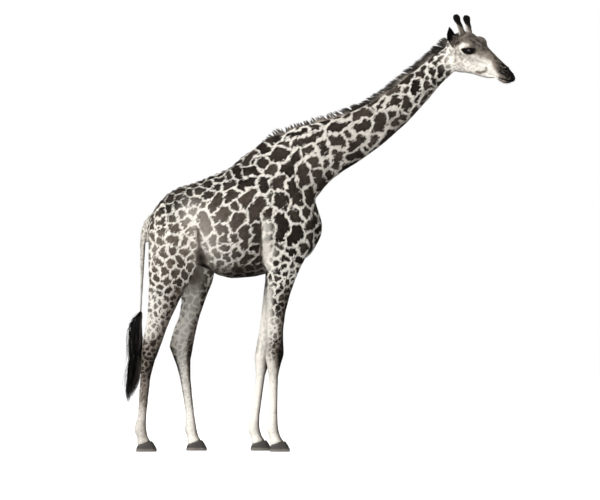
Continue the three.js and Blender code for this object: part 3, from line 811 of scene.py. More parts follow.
def head_marks(local, normals, parts, ground, plain):
    """A dark strip down the face, black round the eyes, mouth and nostrils, and black horn tips. Painted
    shade darkens the mouth's corner fold and the nostril openings and deepens the black round the eyes, the
    nostrils' rims get a painted highlight, and the horns are painted lighter on the side towards the light
    and darker on the other.
    """
    side_view, sideways = local[:, [0, 2]], np.abs(normals @ HEAD_AXES[:, 1])
    along, aside, up = local.T
    near = parts["head_all"]
    strip = near * ease(normals @ HEAD_AXES[:, 2], 0.35, 0.75) * ease(along, 60, 150) * (up > 90)
    ground = mixed(ground, mixed(0.2, 0.02, ease(along, 380, 520)), 0.85 * strip)
    streaks = lattice_noise(local * np.array([0.022, 0.07, 0.07]), 45) + 0.5 * lattice_noise(local * 0.09, 46)
    ground = ground + near * 0.2 * streaks * ease(0.6 - ground, 0, 0.3) * ease(along, -20, 40)
    # the black round the eyes is partly painted shade of the lids and lashes
    patch = near * eye_patch(local)
    ground = mixed(ground, -0.2, patch)
    # painted shade in the fold at the mouth's corner
    corner = stroke_reach(side_view, MOUTH_CORNER, 13) * near
    corner = np.clip(corner * mixed(1.1, 0.7, ease(along, 350, 390)), 0, 0.9)
    ground = mixed(ground, 0.12, corner * (0.75 + 0.25 * lattice_noise(local * 0.05, 41)))
    for line, width, shade in HEAD_SMEARS:
        smear = stroke_reach(side_view, line, width) * near * (0.7 + 0.3 * lattice_noise(local * 0.06, 43))
        ground = mixed(ground, shade, np.clip(smear, 0, 0.85))
    ground = mixed(ground, -0.05, stroke_reach(side_view, LIPS, 6) * near * 0.8)
    # painted shade in the nostril openings
    ground = mixed(ground, -0.15, near * stroke_reach(side_view, NOSTRIL, 8) * ease(sideways, 0.2, 0.5))
    # painted highlight on the nostrils' upper rims
    rim = np.maximum(*(stroke_reach(side_view, line, 3.4) for line in NOSTRIL_HIGHLIGHT_LINES))
    rim *= near * ease(sideways, 0.45, 0.7)
    ground = mixed(ground, 0.55, np.clip(rim * 1.2, 0, 0.8))
    horn = parts["ossicone"] | (near & (up > 236) & (along < 60) & (np.abs(aside) > 34))
    # painted light and shade on the horns: lighter on the side away from the nose, towards the light, darker
    # on the other; the black tips are their own colour
    painted_horn_light = mixed(0.22, 0.9, ease(-(normals @ HEAD_AXES[:, 0]), -0.35, 0.55))
    black_tip = ease((up - 225) / 103, 0.42, 0.58)
    ground = np.where(horn, mixed(painted_horn_light, -0.2, black_tip), ground)
    return ground, np.where(horn | (patch > 0.05), 0.0, plain)


def marking_fields(points, normals, parts):
    """Patch size, half line, patch and ground lightness, and plainness at each point of the skin. The ground
    lightness carries painted shade and highlights as well as the coat's own colour.
    """
    squares, local = matched_plan(points, parts), in_head(points)
    values = np.empty((len(points), 5))
    for start in range(0, len(points), FIELD_BATCH):
        part = slice(start, start + FIELD_BATCH)
        values[part] = blended(squares[part], BODY_FIELDS)
    near = parts["head_all"]
    head_values = blended(local[near][:, [0, 2]], HEAD_FIELDS)
    values[near] = mixed(values[near], head_values, head_share(local[near], -75, -45)[:, None])
    size, line, light, ground, plain = values.T.copy()
    size, ground, plain = leg_patches_and_painted_shade(points, parts, size, ground, plain)
    ground, plain = painted_fold_shade_and_highlight(points, normals, squares, parts, ground, plain)

    # painted shade on the tail's front side; lower down the tail is darker
    rear = 1 - ease(normals[:, 0], 0.55, 0.95)
    shade = mixed(0.12, mixed(0.75, 0.98, ease(points[:, 2], 1.3, 1.9)), rear)
    size, line, light, ground, plain = (
        np.where(parts["tail"], own, field)
        for own, field in ((20, size), (5, line), (0.5, light), (shade, ground), (0.6, plain)))
    ground, plain = head_marks(local, normals, parts, ground, plain)
    for name in EARS:
        _, root, tip, opening = ear_leaf(name)
        along, offset = unit(tip - root), local - root
        share = (offset @ along) / np.linalg.norm(tip - root)
        # painted shade: darker in the ear's opening, and black along its rear edge and towards the tip
        hollow = ease((normals @ HEAD_AXES) @ opening, 0.1, 0.45)
        ahead = np.array([0.85, 0.0, 0.5])
        rear = 1 - ease(offset @ unit(ahead - along * (along @ ahead)), -26, -10)
        shade = mixed(mixed(0.5, 0.36, ease(share, 0.1, 0.4)), 0.28, hollow)
        black = np.maximum(rear * ease(share, 0.18, 0.4), ease(share, 0.44, 0.6))
        shade = mixed(shade, -0.15, black)
        faint = 0.8 * (1 - rear) * (1 - ease(share, 0.45, 0.65))
        size, line, light, ground, plain = (
            np.where(parts[name], own, field)
            for own, field in ((20, size), (6, line), (0.05, light), (shade, ground), (faint, plain)))
    return (size * PATCH_SCALE * MM, line * LINE_SCALE * MM, light, np.clip(ground, -0.2, 1.05),
            np.clip(plain, 0, 1))


def patch_edges(points, seeds, ids):
    """Distance to the border between the two nearest patches, and which patch a point is in."""
    edge = np.full(len(points), NO_BORDER)
    mine = np.zeros(len(points), int)
    blocks = np.floor(points / BLOCK).astype(int) @ np.array([1, 1000, 1000000])
    order = np.argsort(blocks, kind="stable")
    for members in np.split(order, np.nonzero(np.diff(blocks[order]))[0] + 1):
        p = points[members]
        low, high = p.min(0) - BLOCK_MARGIN, p.max(0) + BLOCK_MARGIN
        close = np.nonzero(((seeds > low) & (seeds < high)).all(1))[0]
        if len(np.unique(ids[close])) < 2:
            continue
        near_seeds, near_ids = seeds[close], ids[close]
        far = ((p[:, None] - near_seeds) ** 2).sum(2)
        rows = np.arange(len(p))
        first = far.argmin(1)
        near = far[rows, first]
        far[near_ids[None, :] == near_ids[first][:, None]] = 1e9
        second = far.argmin(1)
        gap = np.linalg.norm(near_seeds[second] - near_seeds[first], axis=1)
        edge[members] = (far[rows, second] - near) / (2 * np.maximum(gap, 1e-4))
        mine[members] = near_ids[first]
    return edge, mine


def grain_of(points, normals, parts):
    """The way the hair lies at each point, along the skin."""
    squares, local = plan(points), in_head(points)
    back = ease(normals[:, 2], 0.2, 0.8)[:, None]
    flow = mixed(np.array([-0.75, 0.0, -0.65]), np.array([-1.0, 0.0, -0.25]), back)
    rump = (1 - ease(squares[:, 0], 165, 195))[:, None]
    flow = mixed(flow, np.array([-0.35, 0.0, -1.0]), rump * (1 - back))
    chest = ease(squares[:, 0], 268, 300)[:, None] * ease(squares[:, 1], 150, 200)[:, None]
    flow = mixed(flow, np.array([-0.15, 0.0, -1.0]), chest)
    flow[parts["neck"]] = (-0.72, 0.0, -0.7)
    flow[parts["leg"] | (points[:, 2] < 1.55)] = (-0.12, 0.0, -1.0)
    flow[parts["tail"]] = (-0.05, 0.0, -1.0)
    cheek = ease(-local[:, 2], -90, 20)[:, None]
    head_flow = mixed(np.array([-1.0, 0.0, 0.12]), np.array([-0.8, 0.0, -0.5]), cheek)
    head_flow[parts["ossicone"]] = (-0.7, 0.0, 0.7)
    for name in EARS:
        side, root, tip, _ = ear_leaf(name)
        head_flow[parts["ear"] & (np.sign(local[:, 1]) == side)] = unit(tip - root)
    flow[parts["head_all"]] = (head_flow @ HEAD_AXES.T)[parts["head_all"]]
    flow = flow - normals * (flow * normals).sum(1, keepdims=True)
    weak = np.linalg.norm(flow, axis=1) < 0.12
    flow[weak] = np.cross(normals[weak], np.array([0.0, 1.0, 0.05]))
    return unit(flow)


def drawn_points(tree):
    """Points of the skin along the drawn patches, and the number of each one's patch."""
    spots, ids = [], []
    for number, patch in enumerate(DRAWN_PATCHES):
        patch = np.array(patch, float)
        share = np.linspace(0, len(patch) - 1, 2 * len(patch) - 1)
        for spot in np.stack([np.interp(share, np.arange(len(patch)), column) for column in patch.T], axis=1):
            x, z = off_plan(spot)
            hit = tree.ray_cast(Vector((float(x), -3, float(z))), Vector((0, 1, 0)))[0]
            if hit is not None:
                spots.append(np.array(hit))
                ids.append(number)
    return spots, ids


def mark_skin(seed):
    """Works out the giraffe's markings at every point of the skin, with the painted shade and highlights that
    the ground lightness carries.
    """
    mesh, parts = work["skin"].data, work["parts"]
    points, normals = points_of(mesh), normals_of(mesh)
    work["tree"] = BVHTree.FromPolygons(points.tolist(), triangles_of(mesh).tolist())
    size, line, light, ground, plain = marking_fields(points, normals, parts)
    web = Web(mesh)
    light, ground, plain, line = (web.relaxed(v, 3) for v in (light, ground, plain, line))
    grain = grain_of(points, normals, parts)

    rng = np.random.default_rng(seed)
    seeds, ids = drawn_points(work["tree"])
    drawn = len(seeds)
    places = rng.permutation(np.nonzero(plain > PLAIN_ENOUGH)[0])[:MOST_PLACES]
    chosen = scattered(rng, points, size, seeds, places)
    for number, index in enumerate(chosen, len(DRAWN_PATCHES)):
        reach = grain[index] * size[index] * GRAIN_TURN * rng.uniform(0.0, 1.0)
        seeds += [points[index] - reach * 0.5, points[index] + reach * 0.5]
        ids += [number, number]
    patches = len(DRAWN_PATCHES) + len(chosen)
    # the borders wander, more where the patches are large
    warp, fine = (np.stack([lattice_noise(points * waves, first + k) for k in range(3)], axis=1)
                  for waves, first in ((22, 11), (55, 21)))
    swing = np.clip(size, 0.02, 0.1)[:, None]
    wandered = points + warp * swing * 0.19 + fine * swing * 0.09
    edge, mine = patch_edges(wandered, np.array(seeds), np.array(ids))
    # single patches differ in tone and in the width of the line round them
    light = np.clip(light + 0.07 * rng.normal(0, 1, patches)[mine], 0, 1)
    edge = edge - line * 0.1 * rng.normal(0, 1, patches)[mine]
    marks = {"edge": edge, "line": line, "light": light, "ground": ground, "plain": plain}
    work.update(normals=normals, grain=grain, marks=marks)
    for name in COAT_MARKS:
        attach(mesh, name, marks[name])
    attach(mesh, "place", points)
    print(f"markings: {drawn} drawn points, {patches} patches")


# ---- finishes

def opaque(colour, times=1):
    """A colour made lighter or darker, with its full cover."""
    return (*[times * c for c in colour], 1)


class Wiring:
    """Short ways to add and join shader nodes."""

    def __init__(self, tree):
        self.tree = tree

    def add(self, kind, **settings):
        node = self.tree.nodes.new("ShaderNode" + kind)
        for key, value in settings.items():
            setattr(node, key, value)
        return node

    def join(self, source, target):
        self.tree.links.new(source, target)

    def feed(self, socket, value):
        if isinstance(value, bpy.types.NodeSocket):
            self.join(value, socket)
        else:
            socket.default_value = value

    def math(self, operation, *values, clamp=False):
        node = self.add("Math", operation=operation, use_clamp=clamp)
        for socket, value in zip(node.inputs, values):
            self.feed(socket, value)
        return node.outputs[0]

    def plus(self, first, second, clamp=False):
        return self.math("ADD", first, second, clamp=clamp)

    def minus(self, first, second):
        return self.math("SUBTRACT", first, second)

    def times(self, first, second):
        return self.math("MULTIPLY", first, second)

    def swing(self, value, middle, reach):
        """How far a value is from its middle, times a reach."""
        return self.times(self.minus(value, middle), reach)

    def noise(self, vector, scale, detail=2.0, rough=0.5):
        node = self.add("TexNoise")
        self.join(vector, node.inputs["Vector"])
        for name, value in (("Scale", scale), ("Detail", detail), ("Roughness", rough)):
            node.inputs[name].default_value = value
        return node.outputs["Fac"]

    def ramp(self, value, low, high, to_low=0.0, to_high=1.0, smooth=True):
        node = self.add("MapRange", interpolation_type="SMOOTHSTEP" if smooth else "LINEAR")
        self.feed(node.inputs["Value"], value)
        for name, number in (("From Min", low), ("From Max", high), ("To Min", to_low), ("To Max", to_high)):
            self.feed(node.inputs[name], number)
        return node.outputs["Result"]

    def mix(self, share, first, second, blend="MIX"):
        node = self.add("Mix", data_type="RGBA", blend_type=blend)
        self.feed(node.inputs["Factor"], share)
        self.feed(node.inputs[6], first)
        self.feed(node.inputs[7], second)
        return node.outputs[2]

    def kept(self, name, kind="Fac"):
        """A number (or with kind "Vector" a vector) that the mesh keeps for each point."""
        return self.add("Attribute", attribute_type="GEOMETRY", attribute_name=name).outputs[kind]

    def position(self):
        return self.add("NewGeometry").outputs["Position"]

    def roughen(self, shader, pattern, low, high):
        """Roughness from low to high, by a pattern."""
        self.join(self.ramp(pattern, 0.2, 0.8, low, high, False), shader.inputs["Roughness"])

    def raise_surface(self, shader, height, strength, distance):
        raised = self.add("Bump")
        raised.inputs["Strength"].default_value = strength
        raised.inputs["Distance"].default_value = distance
        self.join(height, raised.inputs["Height"])
        self.join(raised.outputs["Normal"], shader.inputs["Normal"])


def group_of(name, inputs, outputs):
    """A shader node group with named sockets, and the wiring to fill it."""
    tree = bpy.data.node_groups.new(name, "ShaderNodeTree")
    for socket, kind, default in inputs:
        made = tree.interface.new_socket(socket, in_out="INPUT", socket_type="NodeSocket" + kind)
        if default is not None:
            made.default_value = default
    for socket, kind in outputs:
        tree.interface.new_socket(socket, in_out="OUTPUT", socket_type="NodeSocket" + kind)
    given, out = tree.nodes.new("NodeGroupInput").outputs, tree.nodes.new("NodeGroupOutput").inputs
    return tree, Wiring(tree), given, out


def markings_group(colours):
    """Giraffe markings: notched dark patches between pale lines, with a mottled ground."""
    tree, w, given, out = group_of(
        "giraffe_markings",
        [("Place", "Vector", None), ("Edge", "Float", 0.1), ("Line", "Float", 0.01), ("Light", "Float", 0.1),
         ("Ground", "Float", 1.0), ("Plain", "Float", 1.0)],
        [("Color", "Color"), ("Patch", "Float"), ("Mottle", "Float")])
    place = given["Place"]
    # the border frays, and less so where the pale line is thin
    ragged = w.ramp(given["Line"], 0.002, 0.0085, 0.3, 1.0, False)
    fray = w.plus(w.swing(w.noise(place, 30, 3), 0.5, 0.03), w.swing(w.noise(place, 120, 2), 0.5, 0.015))
    depth = w.minus(w.plus(given["Edge"], w.times(fray, ragged)), given["Line"])
    # thin pale notches run in from the border
    crack = w.math("ABSOLUTE", w.minus(w.noise(place, 15, 1), 0.5))
    notch = w.times(w.ramp(crack, 0.012, 0.034, 1.0, 0.0), w.ramp(depth, 0.004, 0.026, 1.0, 0.0))
    depth = w.minus(depth, w.times(w.times(notch, ragged), 0.024))
    patch = w.times(w.ramp(depth, -0.003, 0.004), given["Plain"])
    # the patches' colour, lighter to the middle
    speckle = w.noise(place, 210, 2, 0.6)
    uneven = w.plus(w.swing(w.noise(place, 19, 4, 0.65), 0.5, 2.1), w.swing(speckle, 0.5, 0.9))
    tone = w.plus(given["Light"], w.times(uneven, w.plus(given["Light"], 0.11)))
    tone = w.plus(tone, w.ramp(depth, 0.006, 0.03, 0.0, 0.05), clamp=True)
    dark = w.mix(tone, opaque(colours.patch_dark), opaque(colours.patch_light))
    # the ground from black over dun to cream, by a level that also carries painted shade and highlights
    soft = w.times(w.minus(1.25, given["Ground"]), w.ramp(given["Ground"], -0.05, 0.3, 0.5, 1.0))
    level = w.plus(given["Ground"], w.times(w.times(uneven, soft), 0.3))
    lower = w.mix(w.ramp(level, 0.0, 0.5, smooth=False), opaque(colours.black_hair), opaque(colours.dun))
    ground = w.mix(w.ramp(level, 0.5, 1.0, smooth=False), lower, opaque(colours.cream))
    w.join(w.mix(patch, ground, dark), out["Color"])
    w.join(patch, out["Patch"])
    w.join(speckle, out["Mottle"])
    return tree


def principled(name, roughness, **settings):
    """A new material, its shader and the wiring to feed it."""
    material = bpy.data.materials.new(name)
    material.use_nodes = True
    tree = material.node_tree
    shader = tree.nodes["Principled BSDF"]
    shader.inputs["Roughness"].default_value = roughness
    for key, value in settings.items():
        shader.inputs[key.replace("_", " ")].default_value = value
    return material, shader, Wiring(tree)


def marked_material(name, group, roughness, relief):
    """Hide or, without relief, fur that carries the markings."""
    material, shader, w = principled(name, roughness, Specular_IOR_Level=0.05)
    marks = w.add("Group", node_tree=group)
    w.join(w.kept("place", "Vector"), marks.inputs["Place"])
    for mark in COAT_MARKS:
        w.join(w.kept(mark), marks.inputs[mark.capitalize()])
    colour = marks.outputs["Color"]
    if relief == 0:  # each tuft a little lighter or darker
        brightness = w.mix(w.kept("shade"), opaque((0.55, 0.55, 0.55)), opaque((1.35, 1.33, 1.3)))
        colour = w.mix(1.0, colour, brightness, "MULTIPLY")
    else:
        stretch = w.add("Mapping")
        w.join(w.position(), stretch.inputs["Vector"])
        stretch.inputs["Scale"].default_value = (1.0, 1.0, 0.35)
        hair = w.noise(stretch.outputs["Vector"], 420, 2, 0.6)
        wrinkle = w.noise(w.position(), 60, 3, 0.55)
        w.raise_surface(shader, w.plus(w.times(hair, 0.6), w.times(wrinkle, 0.5)), 0.5, relief)
        between = w.mix(1.0, colour, opaque((0.78, 0.77, 0.76)), "MULTIPLY")
        colour = w.mix(w.ramp(hair, 0.3, 0.7), between, colour)
    w.join(colour, shader.inputs["Base Color"])
    w.roughen(shader, marks.outputs["Mottle"], roughness - 0.08, roughness + 0.08)
    return material


def hair_material(name, root, tip, roughness):
    """Plain hair that turns from its root's colour to its tip's."""
    material, shader, w = principled(name, roughness, Specular_IOR_Level=0.08)
    streak = w.noise(w.kept("place", "Vector"), 300, 2, 0.6)
    share = w.plus(w.kept("along"), w.swing(streak, 0.5, 0.5), clamp=True)
    # a high shade makes a strand many times brighter; in the tail tuft these bright strands are painted
    # highlights
    brightness = w.ramp(w.kept("shade"), 0.0, 1.0, 0.2, 24.0, False)
    colour = w.mix(share, opaque(root), opaque(tip))
    w.join(w.mix(1.0, colour, brightness, "MULTIPLY"), shader.inputs["Base Color"])
    w.roughen(shader, streak, roughness - 0.1, roughness + 0.1)
    return material


def mane_material(colours):
    """Mane hair: dark, and pale at the roots where the locks say so."""
    material, shader, w = principled("mane_hair", 0.6, Specular_IOR_Level=0.2)
    streak = w.noise(w.kept("place", "Vector"), 160, 3, 0.6)
    share = w.times(w.kept("pale"), w.ramp(w.kept("along"), 0.15, 0.75, 1.0, 0.12))
    share = w.plus(share, w.swing(streak, 0.45, 0.5), clamp=True)
    colour = w.mix(share, opaque(colours.mane), opaque(colours.mane_pale))
    brightness = w.mix(w.kept("shade"), opaque((0.45, 0.45, 0.45)), opaque((1.5, 1.47, 1.44)))
    w.join(w.mix(1.0, colour, brightness, "MULTIPLY"), shader.inputs["Base Color"])
    w.roughen(shader, streak, 0.5, 0.7)
    return material


def eye_material():
    """A dark brown eye with a wide level pupil under a clear wet surface."""
    material, shader, w = principled("wet_eye", 0.08, Coat_Weight=0.6, Coat_Roughness=0.03, IOR=1.35)
    pupil = w.kept("pupil")
    spoke = w.noise(w.kept("spoke", "Vector"), 9, 3, 0.6)
    iris = w.mix(spoke, (0.004, 0.003, 0.002, 1), (0.016, 0.009, 0.006, 1))
    colour = w.mix(w.ramp(pupil, 0.92, 1.05), (0.002, 0.002, 0.003, 1), iris)
    colour = w.mix(w.ramp(pupil, 2.1, 2.7), colour, (0.006, 0.005, 0.004, 1))
    w.join(colour, shader.inputs["Base Color"])
    w.roughen(shader, spoke, 0.06, 0.12)
    return material


def horn_material(colours):
    """Hoof horn: growth rings round the wall, worn pale and dusty towards the ground."""
    material, shader, w = principled("hoof_horn", 0.5, Specular_IOR_Level=0.4)
    parted = w.add("SeparateXYZ")
    w.join(w.position(), parted.inputs[0])
    level = w.plus(parted.outputs["Z"], w.swing(w.noise(w.position(), 14, 2), 0.5, 0.012))
    rings = w.math("SINE", w.times(level, 900.0))
    grain = w.noise(w.position(), 130, 3, 0.6)
    colour = w.mix(grain, opaque(colours.hoof), opaque(colours.hoof, 1.9))
    colour = w.mix(w.times(w.ramp(level, 0.035, 0.0), grain), colour, opaque(colours.dust))
    colour = w.mix(w.ramp(rings, 0.3, 1.0, 0.0, 0.1), colour, opaque(colours.dust))
    w.join(colour, shader.inputs["Base Color"])
    w.raise_surface(shader, w.plus(w.times(rings, 0.5), grain), 0.6, 0.0012)
    w.roughen(shader, grain, 0.4, 0.65)
    return material


# ---- tufts

TUFT_ON_MAP = 0.003  # a tuft's size on the coat's map, whose edge is 1
MAP_MARGIN = 0.01


def skin_triangles():
    """The skin's triangles, their corners and their areas."""
    mesh = work["skin"].data
    tris = triangles_of(mesh)
    corners = points_of(mesh)[tris]
    area = np.linalg.norm(np.cross(corners[:, 1] - corners[:, 0], corners[:, 2] - corners[:, 0]), axis=1) / 2
    return tris, corners, area


def sown(rng, chosen, spacing):
    """Roots sown evenly over some triangles of the skin, with all that is known there."""
    tris, corners, area = work["triangles"]
    chosen = np.nonzero(chosen)[0]
    gap = spacing[tris[chosen]].mean(1)
    expected = area[chosen] / gap ** 2
    count = np.floor(expected + rng.random(len(chosen))).astype(int)
    picked = np.repeat(chosen, count)
    u, v = rng.random((2, len(picked)))
    flip = u + v > 1
    u, v = np.where(flip, 1 - u, u), np.where(flip, 1 - v, v)
    share = np.stack([1 - u - v, u, v], axis=1)

    def at(values):
        values = values[tris[picked]]
        return (values * (share if values.ndim == 2 else share[:, :, None])).sum(1)

    roots = {"place": (corners[picked] * share[:, :, None]).sum(1), "normal": unit(at(work["normals"])),
             "grain": unit(at(work["grain"]))}
    for name, values in work["marks"].items():
        roots[name] = at(values)
    return roots


def turned(ways, normals, angles):
    """Turns directions about the skin's normal."""
    side = np.cross(normals, ways)
    return unit(ways * np.cos(angles)[:, None] + side * np.sin(angles)[:, None])


def unit_chart(chart):
    """A flat map fitted to the unit square."""
    low, high = chart.min(0), chart.max(0)
    return MAP_MARGIN + (chart - low) / np.maximum(high - low, 1e-6) * (1 - 2 * MAP_MARGIN)


def spikes(roots, ways, widths, curves, thickness, chart):
    """Tapering closed tufts, three-sided, along curves (count x steps x 3): points, triangles, and each
    point's share along its tuft, tuft number and UV."""
    count, steps, _ = curves.shape
    widths = np.broadcast_to(widths, count)
    side = unit(np.cross(roots["normal"], ways))
    last = steps - 1
    points, along = [], []
    heading = unit(np.gradient(curves, axis=1))
    for k in range(last):
        share = k / last
        width = widths * (1 - share ** 1.6)
        rise = unit(np.cross(heading[:, k], side))
        middle = curves[:, k]
        points += [middle - side * width[:, None] / 2, middle + side * width[:, None] / 2,
                   middle + rise * (width * thickness)[:, None]]
        along += [share] * 3
    points.append(curves[:, last])
    along.append(1.0)
    each = 3 * last + 1
    pairs = ((0, 1), (1, 2), (2, 0))
    faces = [(0, 2, 1)]
    for low in range(0, each - 4, 3):
        for a, b in pairs:
            faces += [(low + a, low + b, low + 3 + b), (low + a, low + 3 + b, low + 3 + a)]
    faces += [(each - 4 + a, each - 4 + b, each - 1) for a, b in pairs]
    faces = (np.array(faces)[None] + (np.arange(count) * each)[:, None, None]).reshape(-1, 3)
    number = np.repeat(np.arange(count), each)
    offsets = [(-0.5, -0.5), (0.5, -0.5), (0.0, 0.5)] * last + [(0.0, 0.2)]
    uv = unit_chart(chart)[number] + np.tile(np.array(offsets) * TUFT_ON_MAP, (count, 1))
    return np.stack(points, axis=1).reshape(-1, 3), faces, np.tile(np.array(along), count), number, uv


def tuft_piece(name, material, built, values):
    """A coat piece: closed tufts, their markings and shades, and the OFBake map."""
    points, faces, along, number, uv = built
    mesh = mesh_of(name, points, faces)
    for key, per_root in values.items():
        attach(mesh, key, per_root[number])
    attach(mesh, "along", along)
    layer = mesh.uv_layers.new(name="OFBake")
    layer.data.foreach_set("uv", uv[faces.ravel()].astype(np.float32).ravel())
    obj = put(name, mesh, material)
    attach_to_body(obj, "root")
    print(f"{name}: {len(faces)} triangles")
    return obj


def straight_curves(base, ways, reach, steps):
    """The share along the curves, and straight curves from each base."""
    share = np.linspace(0, 1, steps)[:, None]
    return share, base[:, None] + ways[:, None] * reach[:, None, None] * share


def lying_curves(rng, roots, length, lift, bend, steps, sink=0.0):
    """Curves that leave the skin along the grain, rise by lift and settle by bend."""
    ways = turned(roots["grain"], roots["normal"], rng.normal(0, 0.16, len(roots["place"])))
    share = np.linspace(0, 1, steps)[:, None]
    length = length[:, None, None]
    base = (roots["place"] - roots["normal"] * sink)[:, None]
    up = (np.tan(lift)[:, None, None] * share - bend * share ** 2) * length
    return ways, base + ways[:, None] * length * share + roots["normal"][:, None] * up


def chart_of(kind, points):
    """A flat map of one part: length along it, and angle round it."""
    x, y, z = points.T
    along, out, up = in_head(points).T * MM
    if kind == "neck":
        start, run = np.array([-0.3, 2.55]), unit(np.array([1.47, 1.0]))
        flat = points[:, [0, 2]] - start
        chart = flat @ run, np.arctan2(y, flat @ np.array([-run[1], run[0]]))
    elif kind == "trunk":
        middle = np.interp(x, [-1.58, -1.2, -0.7, -0.3, 0.0], [1.99, 2.05, 2.12, 2.22, 2.1])
        chart = x, np.arctan2(y, z - middle)
    elif kind == "tail":
        rings = rings_of("tail")
        chart = z, np.arctan2(y, x - np.interp(z, rings[:, 0], rings[:, 1]))
    elif kind in FEET:
        chart = z, np.radians(leg_angle(points, kind))
    elif kind == "ears":
        chart = up + 0.3 * out, out + 0.02 * np.sign(along + 0.02)
    elif kind == "horns":
        chart = up, np.arctan2(along + 0.05, np.abs(out) - 0.095) + 7 * (out > 0)
    else:
        chart = along, np.arctan2(out, up - 0.07)
    return np.stack(chart, axis=1)


# ---- what a user may change

def a_length(name, description, default, low, high):
    return bpy.props.FloatProperty(name=name, description=description, default=default, min=low, max=high,
                                   unit="LENGTH", subtype="DISTANCE", precision=4)


def a_colour(name, description, default):
    return bpy.props.FloatVectorProperty(name=name, description=description, default=default, size=3,
                                         min=0, max=1, subtype="COLOR")


class GiraffeSizes(bpy.types.PropertyGroup):
    square: a_length("Skin square", "Edge of the squares that the skin is built from", 0.0092, 0.005, 0.02)
    coat_depth: a_length("Coat depth", "How far the skin lies under the body's coat", 0.0045, 0, 0.02)
    face_depth: a_length("Face coat depth", "The same on the head, ears and feet", 0.002, 0, 0.01)
    body_hair: a_length("Body hair", "Length of the short hair on the trunk and neck", 0.018, 0.005, 0.05)
    thinning: bpy.props.FloatProperty(
        name="Tuft spacing", description="Multiplies the space between the coat's tufts",
        default=1.0, min=0.8, max=4.0, subtype="FACTOR")
    seed: bpy.props.IntProperty(
        name="Pattern seed", description="Starts the random parts of the markings and the coat",
        default=7, min=0, subtype="UNSIGNED")


class GiraffeColours(bpy.types.PropertyGroup):
    cream: a_colour("Cream", "Pale lines between the patches", (0.86, 0.82, 0.75))
    dun: a_colour("Dun", "Grey-brown of the face and lower legs", (0.205, 0.174, 0.145))
    patch_dark: a_colour("Dark patch", "The darkest patches", (0.009, 0.006, 0.0045))
    # the light patches of the thigh and flank are partly painted light
    patch_light: a_colour("Light patch", "Faded patches of the thigh and flank", (0.19, 0.152, 0.122))
    black_hair: a_colour("Black hair", "Tail tuft, horn tips, muzzle and eye rims", (0.004, 0.0034, 0.003))
    mane: a_colour("Mane", "Dark hair of the mane", (0.016, 0.012, 0.009))
    mane_pale: a_colour("Pale mane", "Pale hair of the mane, most of it over the withers", (0.52, 0.46, 0.39))
    hoof: a_colour("Hoof", "Horn of the hooves", (0.017, 0.014, 0.012))
    dust: a_colour("Dust", "Wear and dust low on the hooves", (0.42, 0.37, 0.31))
    floor: a_colour("Floor", "The plain floor", (0.92, 0.92, 0.92))


# ---- pieces

HEAD_MIDDLE, HEAD_REACH = np.array([250, 0, 60]), 640
SOLE = 0.0035  # what is lower than this is flattened onto the floor
EYE_GAZE = (0.28, 0.95, 0.02)
EYE_INSET = 0.9  # the eyeball's radius is this much less than the CAD eye's, in mm


def head_share(local, low, high):
    """0 on the neck to 1 on the head."""
    reach = np.linalg.norm(local - HEAD_MIDDLE, axis=1)
    return ease(local[:, 0], low, high) * (reach < HEAD_REACH)


def fine_places(local):
    """Where the head needs the smallest squares: eyes, nostrils and mouth."""
    side_view = local[:, [0, 2]]
    eye = range_of(local, (176, 95, 128)) < 66
    nostril = np.linalg.norm(side_view - np.array([570, 178]), axis=1) < 44
    mouth = stroke_reach(side_view, MOUTH + LIPS, 16) > 0.37
    fold = stroke_reach(side_view, MOUTH_FOLD, 16) > 0.37
    return eye | ((nostril | mouth | fold) & (np.abs(local[:, 1]) > 12))


def rounded_skin(sizes):
    """One smooth skin round all the solids but the ears, let in by the depth of the coat."""
    points, faces, _ = soup_of([n for n in FLESH if n not in EARS] + ["eye_right", "eye_left"])
    skin = remeshed("skin", points, faces, sizes.square)
    mesh = skin.data
    points = points_of(mesh)
    parts, z = part_flags(points), points[:, 2]
    share = np.where(parts["trunk"] | parts["neck"], 1.0, 0.22)
    share = np.where(parts["leg"], mixed(0.22, 1.0, ease(z, 0.9, 1.6)), share)
    share = np.where(parts["tail"] & (z < 2.05), 0.12, share)
    smoothed(mesh, 48, Web(mesh).relaxed(share, 8))
    low = (ease(0.9 - z, 0, 0.5) + parts["head"] + parts["ossicone"]).clip(0, 1)
    push(mesh, -Web(mesh).relaxed(mixed(sizes.coat_depth, sizes.face_depth, low), 8))
    return skin


class GIRAFFE_OT_skin(bpy.types.Operator):
    """Builds the one skin over all the flesh, with its lids, nostrils, mouth, ears and muscles"""
    bl_idname = "giraffe.skin"
    bl_label = "Skin"

    def execute(self, context):
        sizes, colours = context.scene.giraffe_sizes, context.scene.giraffe_colours
        skin = rounded_skin(sizes)
        mesh = skin.data
        refine(mesh, head_share(in_head(points_of(mesh)), -105, -104) > 0.5)
        smoothed(mesh, 9, head_share(in_head(points_of(mesh)), -100, -50), 12)
        local = in_head(points_of(mesh))
        refine(mesh, fine_places(local) & (head_share(local, -60, -59) > 0.5))
        sculpt_head(mesh, head_share(in_head(points_of(mesh)), -70, -20))
        open_eyes(mesh)
        united(skin, [ear_mesh(name) for name in EARS])
        mesh = skin.data
        local = in_head(points_of(mesh))
        roots, rims = bump(range_of(local, EAR_ROOT), 0, 34), bump(range_of(local, (181, 112, 131)), 0, 24)
        smoothed(mesh, 10, np.maximum(roots, 0.35 * rims), 0)
        work.update(skin=skin, parts=part_flags(points_of(mesh)))
        sculpt_body(mesh, work["parts"])
        mark_skin(sizes.seed)
        group = markings_group(colours)
        hide = marked_material("coat_hide", group, 0.78, 0.0022)
        work["fur"] = marked_material("coat_fur", group, 0.72, 0)
        mesh.materials.clear()
        mesh.materials.append(hide)
        mesh.shade_smooth()
        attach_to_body(skin, "root")
        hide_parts(*FLESH)
        print("skin:", len(triangles_of(mesh)), "triangles")
        return {"FINISHED"}


